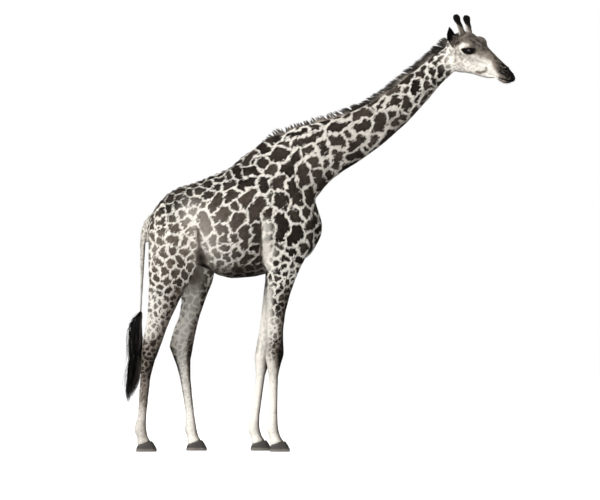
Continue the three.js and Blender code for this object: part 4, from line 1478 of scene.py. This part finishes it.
class GIRAFFE_OT_eyes(bpy.types.Operator):
    """Builds the two wet eyes"""
    bl_idname = "giraffe.eyes"
    bl_label = "Eyes"

    def execute(self, context):
        material = eye_material()
        for name, side in SIDES.items():
            bm = bmesh.new()
            bmesh.ops.create_uvsphere(bm, u_segments=56, v_segments=36, radius=1.0)
            mesh = bpy.data.meshes.new("eyeball_" + name)
            bm.to_mesh(mesh)
            bm.free()
            ball = points_of(mesh)
            gaze = unit(sided(EYE_GAZE, side))
            long_way, high_way = lid_axes(side, gaze)
            x, y, front = ball @ long_way, ball @ high_way, ball @ gaze
            wide = np.hypot(x, y)
            pupil = np.where(front > 0, np.hypot(x / 0.3, y / 0.17), 9.0)
            bulge = 1 + 0.045 * ease(-wide, -0.62, -0.3) * (front > 0)
            ball *= (bulge * (EYE_RADIUS - EYE_INSET))[:, None]
            set_points(mesh, out_of_head(ball + sided(EYE_IN_HEAD, side)))
            attach(mesh, "pupil", pupil)
            turn = np.arctan2(y, x)
            attach(mesh, "spoke", np.stack([np.cos(turn), np.sin(turn), wide * 0.3], axis=1))
            eye = put("eyeball_" + name, mesh, material)
            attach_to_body(eye, "root")
            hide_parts("eye_" + name)
        return {"FINISHED"}


class GIRAFFE_OT_hooves(bpy.types.Operator):
    """Builds the four cloven hooves"""
    bl_idname = "giraffe.hooves"
    bl_label = "Hooves"

    def execute(self, context):
        material = horn_material(context.scene.giraffe_colours)
        for foot in FEET:
            claws = [f"hoof_{foot}_inner", f"hoof_{foot}_outer"]
            points, faces, _ = soup_of(claws)
            hoof = remeshed("hooves_" + foot, points, faces, HOOF_SQUARE)
            mesh = hoof.data
            smoothed(mesh, 14, 1.0, 10)
            points, normals = points_of(mesh), normals_of(mesh)
            z, wall = points[:, 2], ease(0.5 - np.abs(normals[:, 2]), 0, 0.4)
            rings = 0.7 * np.sin(z * 420 + lattice_noise(points * 20, 5)) * ease(z, 0.008, 0.02)
            points += normals * ((rings + 0.8 * bump(z, 0.012, 0.012)) * MM * wall)[:, None]
            points[points[:, 2] < SOLE, 2] = 0.0
            set_points(mesh, points)
            mesh.materials.append(material)
            mesh.shade_smooth()
            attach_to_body(hoof, "root")
            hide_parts(*claws)
        return {"FINISHED"}


EYE_BARE = (176, 100, 128)  # the middle of the bare lids
SHOULDER_END = -0.62  # x where the shoulder's coat ends and the haunch's begins


def coat_measures(points, parts, body_hair):
    """The hair's spacing in mm and its length in m at each point of the skin."""
    local = in_head(points)
    low = 1 - ease(points[:, 2], 0.55, 1.5)
    spacing = np.where(parts["neck"], 6.4, 6.6)
    spacing = np.where(parts["leg"], mixed(6.2, 4.7, low), spacing)
    long = np.full(len(points), body_hair)
    long = np.where(parts["leg"], mixed(0.8, 0.42, low) * body_hair, long)
    to_nose, muzzle = ease(local[:, 0], -60, 40), ease(local[:, 0], 380, 560)
    near = parts["head_all"]
    spacing = np.where(near, mixed(mixed(6.0, 3.7, to_nose), 3.3, muzzle), spacing)
    long = np.where(near, body_hair * mixed(mixed(0.9, 0.42, to_nose), 0.2, muzzle), long)
    eye = range_of(local, EYE_BARE)
    long = np.where(near & (eye < 60), long * ease(eye, 15, 70).clip(0.45, 1), long)
    for part, part_spacing, part_long in (("ear", 3.2, 0.009), ("tail", 4.6, 0.018)):
        spacing = np.where(parts[part], part_spacing, spacing)
        long = np.where(parts[part], part_long, long)
    return spacing, long


def coat_regions(points, parts, first):
    """The coat's pieces: name, kind of map, and the triangles, by the first corner of each."""
    kinds = {kind: flags[first] for kind, flags in parts.items()}
    bare = (range_of(in_head(points), EYE_BARE) < 34)[first]
    right, ahead = points[first, 1] < 0, points[first, 0] > SHOULDER_END
    regions = []
    for side, mask in (("right", right), ("left", ~right)):
        regions += [(f"coat_shoulder_{side}", "trunk", kinds["trunk"] & mask & ahead),
                    (f"coat_haunch_{side}", "trunk", kinds["trunk"] & mask & ~ahead),
                    (f"coat_neck_{side}", "neck", kinds["neck"] & mask)]
    regions += [(f"coat_leg_{foot}", foot, kinds[f"leg_{foot}"]) for foot in FEET]
    return regions + [("coat_face", "head", kinds["head"] & ~bare), ("coat_ears", "ears", kinds["ear"]),
                      ("coat_horns", "horns", kinds["ossicone"]), ("coat_tail", "tail", kinds["tail"])]


class GIRAFFE_OT_short_coat(bpy.types.Operator):
    """Lays the short coat over the skin, in pieces"""
    bl_idname = "giraffe.short_coat"
    bl_label = "Short coat"

    def execute(self, context):
        sizes = context.scene.giraffe_sizes
        mesh, parts = work["skin"].data, work["parts"]
        points = points_of(mesh)
        web = Web(mesh)
        spacing, long = (web.relaxed(v, 3) for v in coat_measures(points, parts, sizes.body_hair))
        spacing = spacing * MM * sizes.thinning
        work["marks"].update(long=long, gap=spacing)
        work["triangles"] = skin_triangles()
        rng = np.random.default_rng(sizes.seed + 1)
        for name, kind, chosen in coat_regions(points, parts, work["triangles"][0][:, 0]):
            roots = sown(rng, chosen, spacing)
            count = len(roots["place"])
            reach = roots["long"] * rng.uniform(0.75, 1.2, count)
            lift = rng.uniform(0.4, 1.6, count) * 0.12
            ways, curves = lying_curves(rng, roots, reach, lift, 0.0, 2, 0.0008)
            width = np.clip(roots["gap"] * 0.66, 0.0011, reach * 0.5) * rng.uniform(0.8, 1.2, count)
            built = spikes(roots, ways, width, curves, 0.28, chart_of(kind, roots["place"]))
            values = {key: roots[key] for key in (*COAT_MARKS, "place")}
            values["shade"] = np.clip(0.5 + rng.normal(0, 0.17, count), 0, 1)
            tuft_piece(name, work["fur"], built, values)
        return {"FINISHED"}


# The mane's upper edge on the side plan, from the withers to the poll
MANE_EDGE = [(262, 140), (270, 132.5), (278.5, 127.5), (290.5, 124), (303, 121), (321, 115), (344, 107),
             (362, 100), (380, 88), (398, 73.5), (416.5, 59), (430, 47), (436, 41.5), (441, 37), (446, 34.5)]
MANE_HAIRS = 9800
WITHERS_POINTS = 6  # up to this point of the edge the locks stand wider apart
ROW_SIDE = 0.012  # the locks stand in three rows, this far apart
OVER_EDGE = 0.03  # hair is looked for from this far above the edge, in m
ACROSS = np.array([0.0, 1.0, 0.0])


def mane_roots(rng, tree):
    """Where each hair of the mane stands, its height, and the neck's directions there."""
    edge = np.stack(off_plan(MANE_EDGE), axis=1)
    run = np.concatenate([[0], np.cumsum(np.hypot(*np.diff(edge, axis=0).T))])

    def edge_at(place):
        x, z = (np.interp(place, run, column) for column in edge.T)
        return np.stack([x, np.zeros(len(place)), z], axis=1)

    where = rng.uniform(0, run[-1], MANE_HAIRS)
    tangent = unit(edge_at(where + 0.03) - edge_at(where - 0.03))
    rise = np.stack([-tangent[:, 2], np.zeros(MANE_HAIRS), tangent[:, 0]], axis=1)
    lateral = rng.normal(0, 0.01, MANE_HAIRS).clip(-0.022, 0.022)
    spots = edge_at(where) + lateral[:, None] * ACROSS
    keep, place, tall = [], [], []
    for i, (spot, up) in enumerate(zip(spots, rise)):
        hit, _, _, far = tree.ray_cast(Vector(spot) + Vector(up) * OVER_EDGE, -Vector(up), 0.3)
        if hit is not None and far > 1.5 * OVER_EDGE:
            keep.append(i)
            place.append(hit)
            tall.append(far - OVER_EDGE)
    return np.array(place), np.array(tall), tangent[keep], rise[keep], lateral[keep], where[keep], run


class GIRAFFE_OT_mane(bpy.types.Operator):
    """Sets the upright mane along the neck, gathered in pointed locks"""
    bl_idname = "giraffe.mane"
    bl_label = "Mane"

    def execute(self, context):
        sizes, colours = context.scene.giraffe_sizes, context.scene.giraffe_colours
        rng = np.random.default_rng(sizes.seed + 2)
        place, tall, tangent, rise, lateral, where, run = mane_roots(rng, work["tree"])
        count = len(place)
        along_plan = plan(place)[:, 0]
        withers, crown = 1 - ease(along_plan, 315, 350), ease(along_plan, 424, 438)
        # each hair belongs to the nearest lock
        line = np.concatenate([np.arange(0.004, run[WITHERS_POINTS], 0.031),
                               np.arange(run[WITHERS_POINTS], run[-1], 0.015)])
        lock_where = np.concatenate([line + 0.003, line, line - 0.004])
        locks = len(lock_where)
        lock_where = lock_where + np.tile(rng.normal(0, 0.005, len(line)), 3) + rng.normal(0, 0.002, locks)
        lock_side = np.repeat([-ROW_SIDE, 0.0, ROW_SIDE], len(line)) + rng.normal(0, 0.003, locks)
        lock = ((where[:, None] - lock_where) ** 2 + 0.6 * (lateral[:, None] - lock_side) ** 2).argmin(1)
        off, aside = where - lock_where[lock], lateral - lock_side[lock]
        lock_high = (0.75 * np.tile(rng.beta(1.6, 1.3, len(line)), 3) + 0.25 * rng.random(locks))[lock]
        lock_turn, lock_shade = rng.normal(0, 0.12, locks)[lock], rng.normal(0, 0.2, locks)[lock]
        flat = np.zeros(count)
        swell = lattice_noise(np.stack([where * 24, flat, flat], axis=1), 31)
        tall = tall * (mixed(0.98, 0.72, withers) + mixed(0.24, 0.8, withers) * lock_high * (1 - 0.5 * crown)
                       + 0.07 * swell)
        from_lock = np.clip(np.hypot(off, aside) / 0.014, 0, 1)
        tall *= (1 - mixed(0.42, 0.25, crown) * from_lock) * (1 - 0.5 * (lateral / 0.03) ** 2)
        lean = mixed(0.6, 0.14, withers) - 0.2 * crown + lock_turn + rng.normal(0, 0.04, count)
        splay = lateral * 9 + rng.normal(0, 0.04, count)
        ways = unit(rise - tangent * np.tan(lean)[:, None] + ACROSS * splay[:, None])
        reach = tall / np.cos(lean)
        share, curves = straight_curves(place - rise * 0.006, ways, reach, 4)
        # the hairs bow back, and each lock draws to a point
        pull = (tangent * off[:, None] + ACROSS * aside[:, None])[:, None]
        curves = curves - tangent[:, None] * reach[:, None, None] * 0.12 * share ** 2
        curves = curves - pull * mixed(0.85, 0.45, crown)[:, None, None] * share ** 1.4
        holder = {"normal": np.cross(ways, ACROSS), "place": place}
        width = mixed(0.0048, 0.0044, withers) * rng.uniform(0.7, 1.25, count)
        built = spikes(holder, ways, width, curves, 0.5, np.stack([where, lateral * 20], axis=1))
        band = lattice_noise(np.stack([where * 11, lateral * 12, flat], axis=1), 33)
        pale = np.clip(mixed(0.22 + 0.75 * band, 0.62 + 0.5 * band, withers), 0, 1)
        shade = np.clip(0.4 + lock_shade + rng.normal(0, 0.09, count), 0, 1)
        values = {"place": place, "pale": pale, "shade": shade}
        mane = tuft_piece("mane_hair", mane_material(colours), built, values)
        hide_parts("mane")
        return {"FINISHED"}


TAIL_STRANDS, TAIL_STEPS, TAIL_LOCKS = 1350, 16, 20


class GIRAFFE_OT_tail_tuft(bpy.types.Operator):
    """Hangs the long black tuft on the tail"""
    bl_idname = "giraffe.tail_tuft"
    bl_label = "Tail tuft"

    def execute(self, context):
        sizes, colours = context.scene.giraffe_sizes, context.scene.giraffe_colours
        rng = np.random.default_rng(sizes.seed + 3)
        rings, count = rings_of("tail_tuft"), TAIL_STRANDS

        def per_lock(low, high):
            return rng.uniform(low, high, TAIL_LOCKS)

        top, bottom = rings[-1, 0] + 0.008, rings[0, 0]
        start = top - rng.uniform(0, 1, count) ** 1.5 * 0.13
        end = bottom + rng.gamma(1.6, 0.055, count)
        share = np.linspace(0, 1, TAIL_STEPS)
        angle = rng.uniform(0, 2 * math.pi, count)
        spread = np.sqrt(rng.uniform(0.0, 1, count))
        start = start - 0.018 * spread ** 2
        wisp = rng.random(count) < 0.02
        angle = np.where(wisp, math.pi + rng.normal(0, 0.5, count), angle)
        loose = np.where(wisp, rng.uniform(1.15, 1.5, count), 0.84)
        # strands hang in wavy locks
        lock = np.floor((angle + 0.7 * np.sin(9 * spread)) * 3.2).astype(int) % TAIL_LOCKS
        phase, reach = per_lock(0, 6.28)[lock], per_lock(0.01, 0.026)[lock]
        loose = np.where(wisp, loose, loose * per_lock(0.62, 1.16)[lock])
        grow = np.minimum(1, np.sqrt(0.22 + share * 15.0)) * (spread * loose)[:, None]
        curl = mixed(7.0, 13.0, per_lock(0, 1)[lock])[:, None] * share + phase[:, None]
        curl = curl + rng.normal(0, 0.35, count)[:, None]
        end = np.minimum(end + per_lock(0, 0.17)[lock] - 0.02, start - 0.12)
        height = start[:, None] + (end - start)[:, None] * share
        wave = np.where(wisp, 0.02, reach)[:, None] * ease(share, 0.05, 0.5)
        turn = angle[:, None] + 0.35 * share * rng.normal(0, 1, TAIL_LOCKS)[lock][:, None]
        middle_x, middle_y, half_x, half_y = (np.interp(height, rings[:, 0], ring) for ring in rings[:, 1:].T)
        upper = ease(height, 0.95, 1.15)
        half_x, half_y = np.maximum(half_x, 0.048 * upper), np.maximum(half_y, 0.03 * upper)
        x = middle_x + half_x * grow * np.cos(turn) + wave * np.sin(curl)
        y = middle_y + half_y * grow * np.sin(turn) + wave * np.cos(curl * 1.3)
        curves = np.stack([x, y, height], axis=2)
        outward = unit(np.stack([np.cos(angle), np.sin(angle), np.zeros(count)], axis=1))
        down = np.tile(np.array([0.0, 0.0, -1.0]), (count, 1))
        holder = {"normal": outward, "place": curves[:, 0]}
        width = np.where(wisp, 0.0048, rng.uniform(0.0045, 0.009, count))
        built = spikes(holder, down, width, curves, 0.6, np.stack([curves[:, 4, 2], angle], axis=1))
        # painted highlights: a few locks and strands are made much lighter, as glints in the tuft
        shade = np.clip(0.4 * per_lock(0, 1)[lock] ** 9 + rng.normal(0, 0.012, count), 0, 1)
        shade = np.where(rng.random(count) < 0.05, rng.uniform(0.2, 1.0, count), shade)
        shade = np.where(wisp, 0.02, shade)
        values = {"place": curves[:, 0] * np.array([1, 1, 0.1]), "shade": shade}
        black = colours.black_hair
        material = hair_material("tail_hair", black, [1.5 * c for c in black], 0.45)
        tuft = tuft_piece("tail_tuft_hair", material, built, values)
        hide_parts("tail_tuft")
        return {"FINISHED"}


# Gaps and widths in m
HORN_TUFT_GAP, HORN_TUFT_WIDTH = 0.0026, 0.0022
EAR_HAIR_GAP, EAR_HAIR_WIDTH = 0.0036, 0.0016
WHISKER_GAP, WHISKER_WIDTH = 0.011, 0.0008
LASH_WIDTH = 0.0013
HORN_TUFT_FROM = 264  # up the head's axis, in mm
LASHES = ((1, LID_OPENING[1], 110, 1.0), (-1, LID_OPENING[2], 45, 0.5))  # up or down, lid, number and length


def horn_tufts(rng, points, local, first, black):
    """Upright tufts on the horns' tips."""
    tip = work["parts"]["ossicone"] & (local[:, 2] > HORN_TUFT_FROM)
    roots = sown(rng, tip[first], np.full(len(points), HORN_TUFT_GAP))
    count, normal = len(roots["place"]), roots["normal"]
    upward = HEAD_AXES @ unit(np.array([-0.75, 0.0, 0.66]))
    ways = unit(normal * 0.6 + upward + rng.normal(0, 0.18, (count, 3)))
    crown = ease((normal @ HEAD_AXES)[:, 2], 0.3, 0.8)
    reach = rng.uniform(0.009, 0.015, count) * mixed(1.0, 0.35, crown)
    share, curves = straight_curves(roots["place"] - normal * 0.002, ways, reach, 3)
    curves = curves + normal[:, None] * (reach[:, None, None] * 0.12 * np.sin(share * math.pi))
    built = spikes(roots, ways, HORN_TUFT_WIDTH, curves, 0.5, chart_of("horns", roots["place"]))
    values = {"place": roots["place"], "shade": np.clip(0.03 + rng.normal(0, 0.02, count), 0, 1)}
    tuft_piece("horn_tufts", black, built, values)


def ear_hair(rng, points, first):
    """Hair inside and along the rims of the ears."""
    inner = np.zeros(len(points), bool)
    for name in EARS:
        facing = (work["normals"] @ HEAD_AXES) @ ear_leaf(name)[3]
        inner |= work["parts"][name] & (facing > -0.1)
    roots = sown(rng, inner[first], np.full(len(points), EAR_HAIR_GAP))
    count = len(roots["place"])
    reach = rng.uniform(0.01, 0.02, count) * np.where(roots["ground"] < 0.1, 0.6, 1.0)
    ways, curves = lying_curves(rng, roots, reach, rng.uniform(0.1, 0.5, count), 0.15, 3)
    built = spikes(roots, ways, EAR_HAIR_WIDTH, curves, 0.5, chart_of("ears", roots["place"]))
    values = {key: roots[key] for key in (*COAT_MARKS, "place")}
    values["shade"] = np.clip(0.5 + rng.normal(0, 0.2, count), 0, 1)
    tuft_piece("ear_hair", work["fur"], built, values)


def eyelashes(rng, black):
    """Lashes along both lids of both eyes."""
    made = []
    for side in SIDES.values():
        outward = unit(sided(LID_FACING, side))
        long_way, high_way = lid_axes(side, outward)
        for upper, half, number, long in LASHES:
            a = rng.uniform(-0.92, 0.92, number)
            across, rise = a * LID_OPENING[0], upper * half * np.sqrt(1 - a ** 2)
            flat = across[:, None] * long_way + rise[:, None] * high_way
            depth = np.sqrt(np.maximum(LID_OUTSIDE ** 2 - (flat ** 2).sum(1), 1))
            base = sided(EYE_IN_HEAD, side) + flat + outward * depth[:, None]
            way = unit(outward * 0.95 + high_way * upper * 0.25 + long_way * a[:, None] * 0.45
                       + rng.normal(0, 0.07, (number, 3)))
            reach = (rng.uniform(15, 24, number) * long)[:, None, None]
            share = np.linspace(0, 1, 5)[:, None]
            droop = -high_way * upper * 0.1 + high_way * upper * 0.35 * share
            curve = base[:, None] + way[:, None] * share * reach + droop * share * reach
            made.append((out_of_head(curve), way @ HEAD_AXES.T, np.tile(high_way @ HEAD_AXES.T, (number, 1))))
    curves, ways, normals = (np.concatenate(v) for v in zip(*made))
    holder = {"normal": normals, "place": curves[:, 0]}
    built = spikes(holder, ways, LASH_WIDTH, curves, 0.6, chart_of("head", curves[:, 0]))
    tuft_piece("eyelashes", black, built, {"place": curves[:, 0], "shade": np.full(len(curves), 0.03)})


def whiskers(rng, points, local, first, black):
    """Sparse whiskers on the lips and chin."""
    lips = work["parts"]["head"] & (local[:, 0] > 520) & (local[:, 2] < 140)
    roots = sown(rng, lips[first], np.full(len(points), WHISKER_GAP))
    count = len(roots["place"])
    reach, lift = rng.uniform(0.01, 0.022, count), rng.uniform(0.5, 1.1, count)
    ways, curves = lying_curves(rng, roots, reach, lift, 0.3, 4)
    built = spikes(roots, ways, WHISKER_WIDTH, curves, 0.6, chart_of("head", roots["place"]))
    tuft_piece("whiskers", black, built, {"place": roots["place"], "shade": np.full(count, 0.03)})


class GIRAFFE_OT_face_hair(bpy.types.Operator):
    """Adds the horn tufts, ear hair, eyelashes and chin whiskers"""
    bl_idname = "giraffe.face_hair"
    bl_label = "Face hair"

    def execute(self, context):
        sizes, colours = context.scene.giraffe_sizes, context.scene.giraffe_colours
        rng = np.random.default_rng(sizes.seed + 4)
        points = points_of(work["skin"].data)
        local, first = in_head(points), work["triangles"][0][:, 0]
        black = hair_material("horn_tuft_hair", colours.black_hair, (0.012, 0.01, 0.009), 0.55)
        horn_tufts(rng, points, local, first, black)
        ear_hair(rng, points, first)
        eyelashes(rng, black)
        whiskers(rng, points, local, first, black)
        return {"FINISHED"}


WHITE = (1.0, 1.0, 1.0)
FLOOR_RADIUS, FLOOR_FADE = 40.0, (10.0, 38.0)  # the floor fades out between these two distances
FLOOR_GLOW = 0.4
PICTURE = (600, 500)  # squares of the side plan that the camera shows
CAMERA_DISTANCE, SENSOR = 60.0, 36.0
# Each lamp's place and aim, spread in degrees, and power
LAMPS = {
    "key_light": ((-7.2, -8.8, 8.8), (-0.4, 0, 1.9), 26, 3.4),
    "fill_light": ((1.5, -10.0, 1.6), (-0.4, 0, 1.9), 24, 1.9),
    "back_light": ((-3.0, 7.0, 8.0), (-0.2, 0, 2.2), 40, 1.0),
}


def pale_floor(colour):
    """A round floor that fades out, and that is darker to the light than to the eye."""
    bm = bmesh.new()
    bmesh.ops.create_circle(bm, cap_ends=True, segments=96, radius=FLOOR_RADIUS)
    mesh = bpy.data.meshes.new("floor")
    bm.to_mesh(mesh)
    bm.free()
    material, shader, w = principled("floor_plaster", 0.95, Specular_IOR_Level=0.1)
    pale = w.mix(w.noise(w.position(), 3.0, 4), opaque(colour, 0.96), opaque(colour))
    seen = w.add("LightPath").outputs["Is Camera Ray"]
    w.join(w.mix(seen, (0.25, 0.25, 0.25, 1), pale), shader.inputs["Base Color"])
    shader.inputs["Emission Color"].default_value = opaque(WHITE)
    w.join(w.times(seen, FLOOR_GLOW), shader.inputs["Emission Strength"])
    far = w.add("VectorMath", operation="LENGTH")
    w.join(w.position(), far.inputs[0])
    w.join(w.ramp(far.outputs["Value"], *FLOOR_FADE, 1.0, 0.0), shader.inputs["Alpha"])
    floor = put("floor", mesh, material, smooth=False)
    floor.location = (-0.2, 0.0, -0.0005)


def pale_room(scene):
    """A room that is white to look at and, as a light, brightest from above and behind."""
    world = bpy.data.worlds.new("pale_room")
    scene.world = world
    world.use_nodes = True
    world.node_tree.nodes.clear()
    w = Wiring(world.node_tree)
    seen, given, choice = w.add("Background"), w.add("Background"), w.add("MixShader")
    seen.inputs["Color"].default_value = opaque(WHITE)
    seen.inputs["Strength"].default_value = 1.0
    given.inputs["Color"].default_value = (0.96, 0.98, 1.0, 1)
    toward = w.add("VectorMath", operation="DOT_PRODUCT")
    w.join(w.add("TexCoord").outputs["Generated"], toward.inputs[0])
    toward.inputs[1].default_value = (-0.62, -0.25, 0.74)
    w.join(w.ramp(toward.outputs["Value"], -0.7, 1.0, 0.08, 0.7), given.inputs["Strength"])
    w.join(w.add("LightPath").outputs["Is Camera Ray"], choice.inputs[0])
    w.join(given.outputs[0], choice.inputs[1])
    w.join(seen.outputs[0], choice.inputs[2])
    w.join(choice.outputs[0], w.add("OutputWorld").inputs["Surface"])


def lamps_and_camera(scene):
    """Soft lamps, and a far camera square to the side plan."""
    for name, (place, aim, spread, power) in LAMPS.items():
        lamp = bpy.data.lights.new(name, "SUN")
        lamp.angle = math.radians(spread)
        lamp.energy = power
        obj = bpy.data.objects.new(name, lamp)
        scene.collection.objects.link(obj)
        obj.location = place
        obj.rotation_euler = (Vector(aim) - Vector(place)).to_track_quat("-Z", "Y").to_euler()
    camera = bpy.data.cameras.new("camera")
    camera.sensor_width = SENSOR
    camera.lens = SENSOR * CAMERA_DISTANCE / (PICTURE[0] / SQUARES)
    obj = bpy.data.objects.new("camera", camera)
    scene.collection.objects.link(obj)
    obj.location = (PLAN_X + PICTURE[0] / 2 / SQUARES, -CAMERA_DISTANCE, PLAN_Z - PICTURE[1] / 2 / SQUARES)
    obj.rotation_euler = (math.radians(90), 0, 0)
    scene.camera = obj


class GIRAFFE_OT_stage(bpy.types.Operator):
    """Sets the pale floor, the soft light and the camera"""
    bl_idname = "giraffe.stage"
    bl_label = "Stage"

    def execute(self, context):
        scene = context.scene
        scene.view_settings.view_transform = "Standard"
        scene.view_settings.look = "None"
        pale_floor(scene.giraffe_colours.floor)
        pale_room(scene)
        lamps_and_camera(scene)
        return {"FINISHED"}


class GIRAFFE_PT_panel(bpy.types.Panel):
    """Lists the giraffe's pieces in the order they are built"""
    bl_idname = "GIRAFFE_PT_panel"
    bl_label = "Standing giraffe"
    bl_space_type = "VIEW_3D"
    bl_region_type = "UI"
    bl_category = "Giraffe"

    def draw(self, context):
        layout = self.layout
        for group in (context.scene.giraffe_sizes, context.scene.giraffe_colours):
            box = layout.box()
            for name in group.__annotations__:
                box.prop(group, name)
        for step in STEPS:
            layout.operator(step.bl_idname)


STEPS = [GIRAFFE_OT_skin, GIRAFFE_OT_eyes, GIRAFFE_OT_hooves, GIRAFFE_OT_short_coat, GIRAFFE_OT_mane,
         GIRAFFE_OT_tail_tuft, GIRAFFE_OT_face_hair, GIRAFFE_OT_stage]
CLASSES = [GiraffeSizes, GiraffeColours, *STEPS, GIRAFFE_PT_panel]


def register():
    for item in CLASSES:
        bpy.utils.register_class(item)
    bpy.types.Scene.giraffe_sizes = bpy.props.PointerProperty(type=GiraffeSizes)
    bpy.types.Scene.giraffe_colours = bpy.props.PointerProperty(type=GiraffeColours)


def unregister():
    del bpy.types.Scene.giraffe_colours
    del bpy.types.Scene.giraffe_sizes
    for item in reversed(CLASSES):
        bpy.utils.unregister_class(item)


def main():
    register()
    for step in STEPS:
        family, name = step.bl_idname.split(".")
        getattr(getattr(bpy.ops, family), name)()


if __name__ == "__main__":
    main()
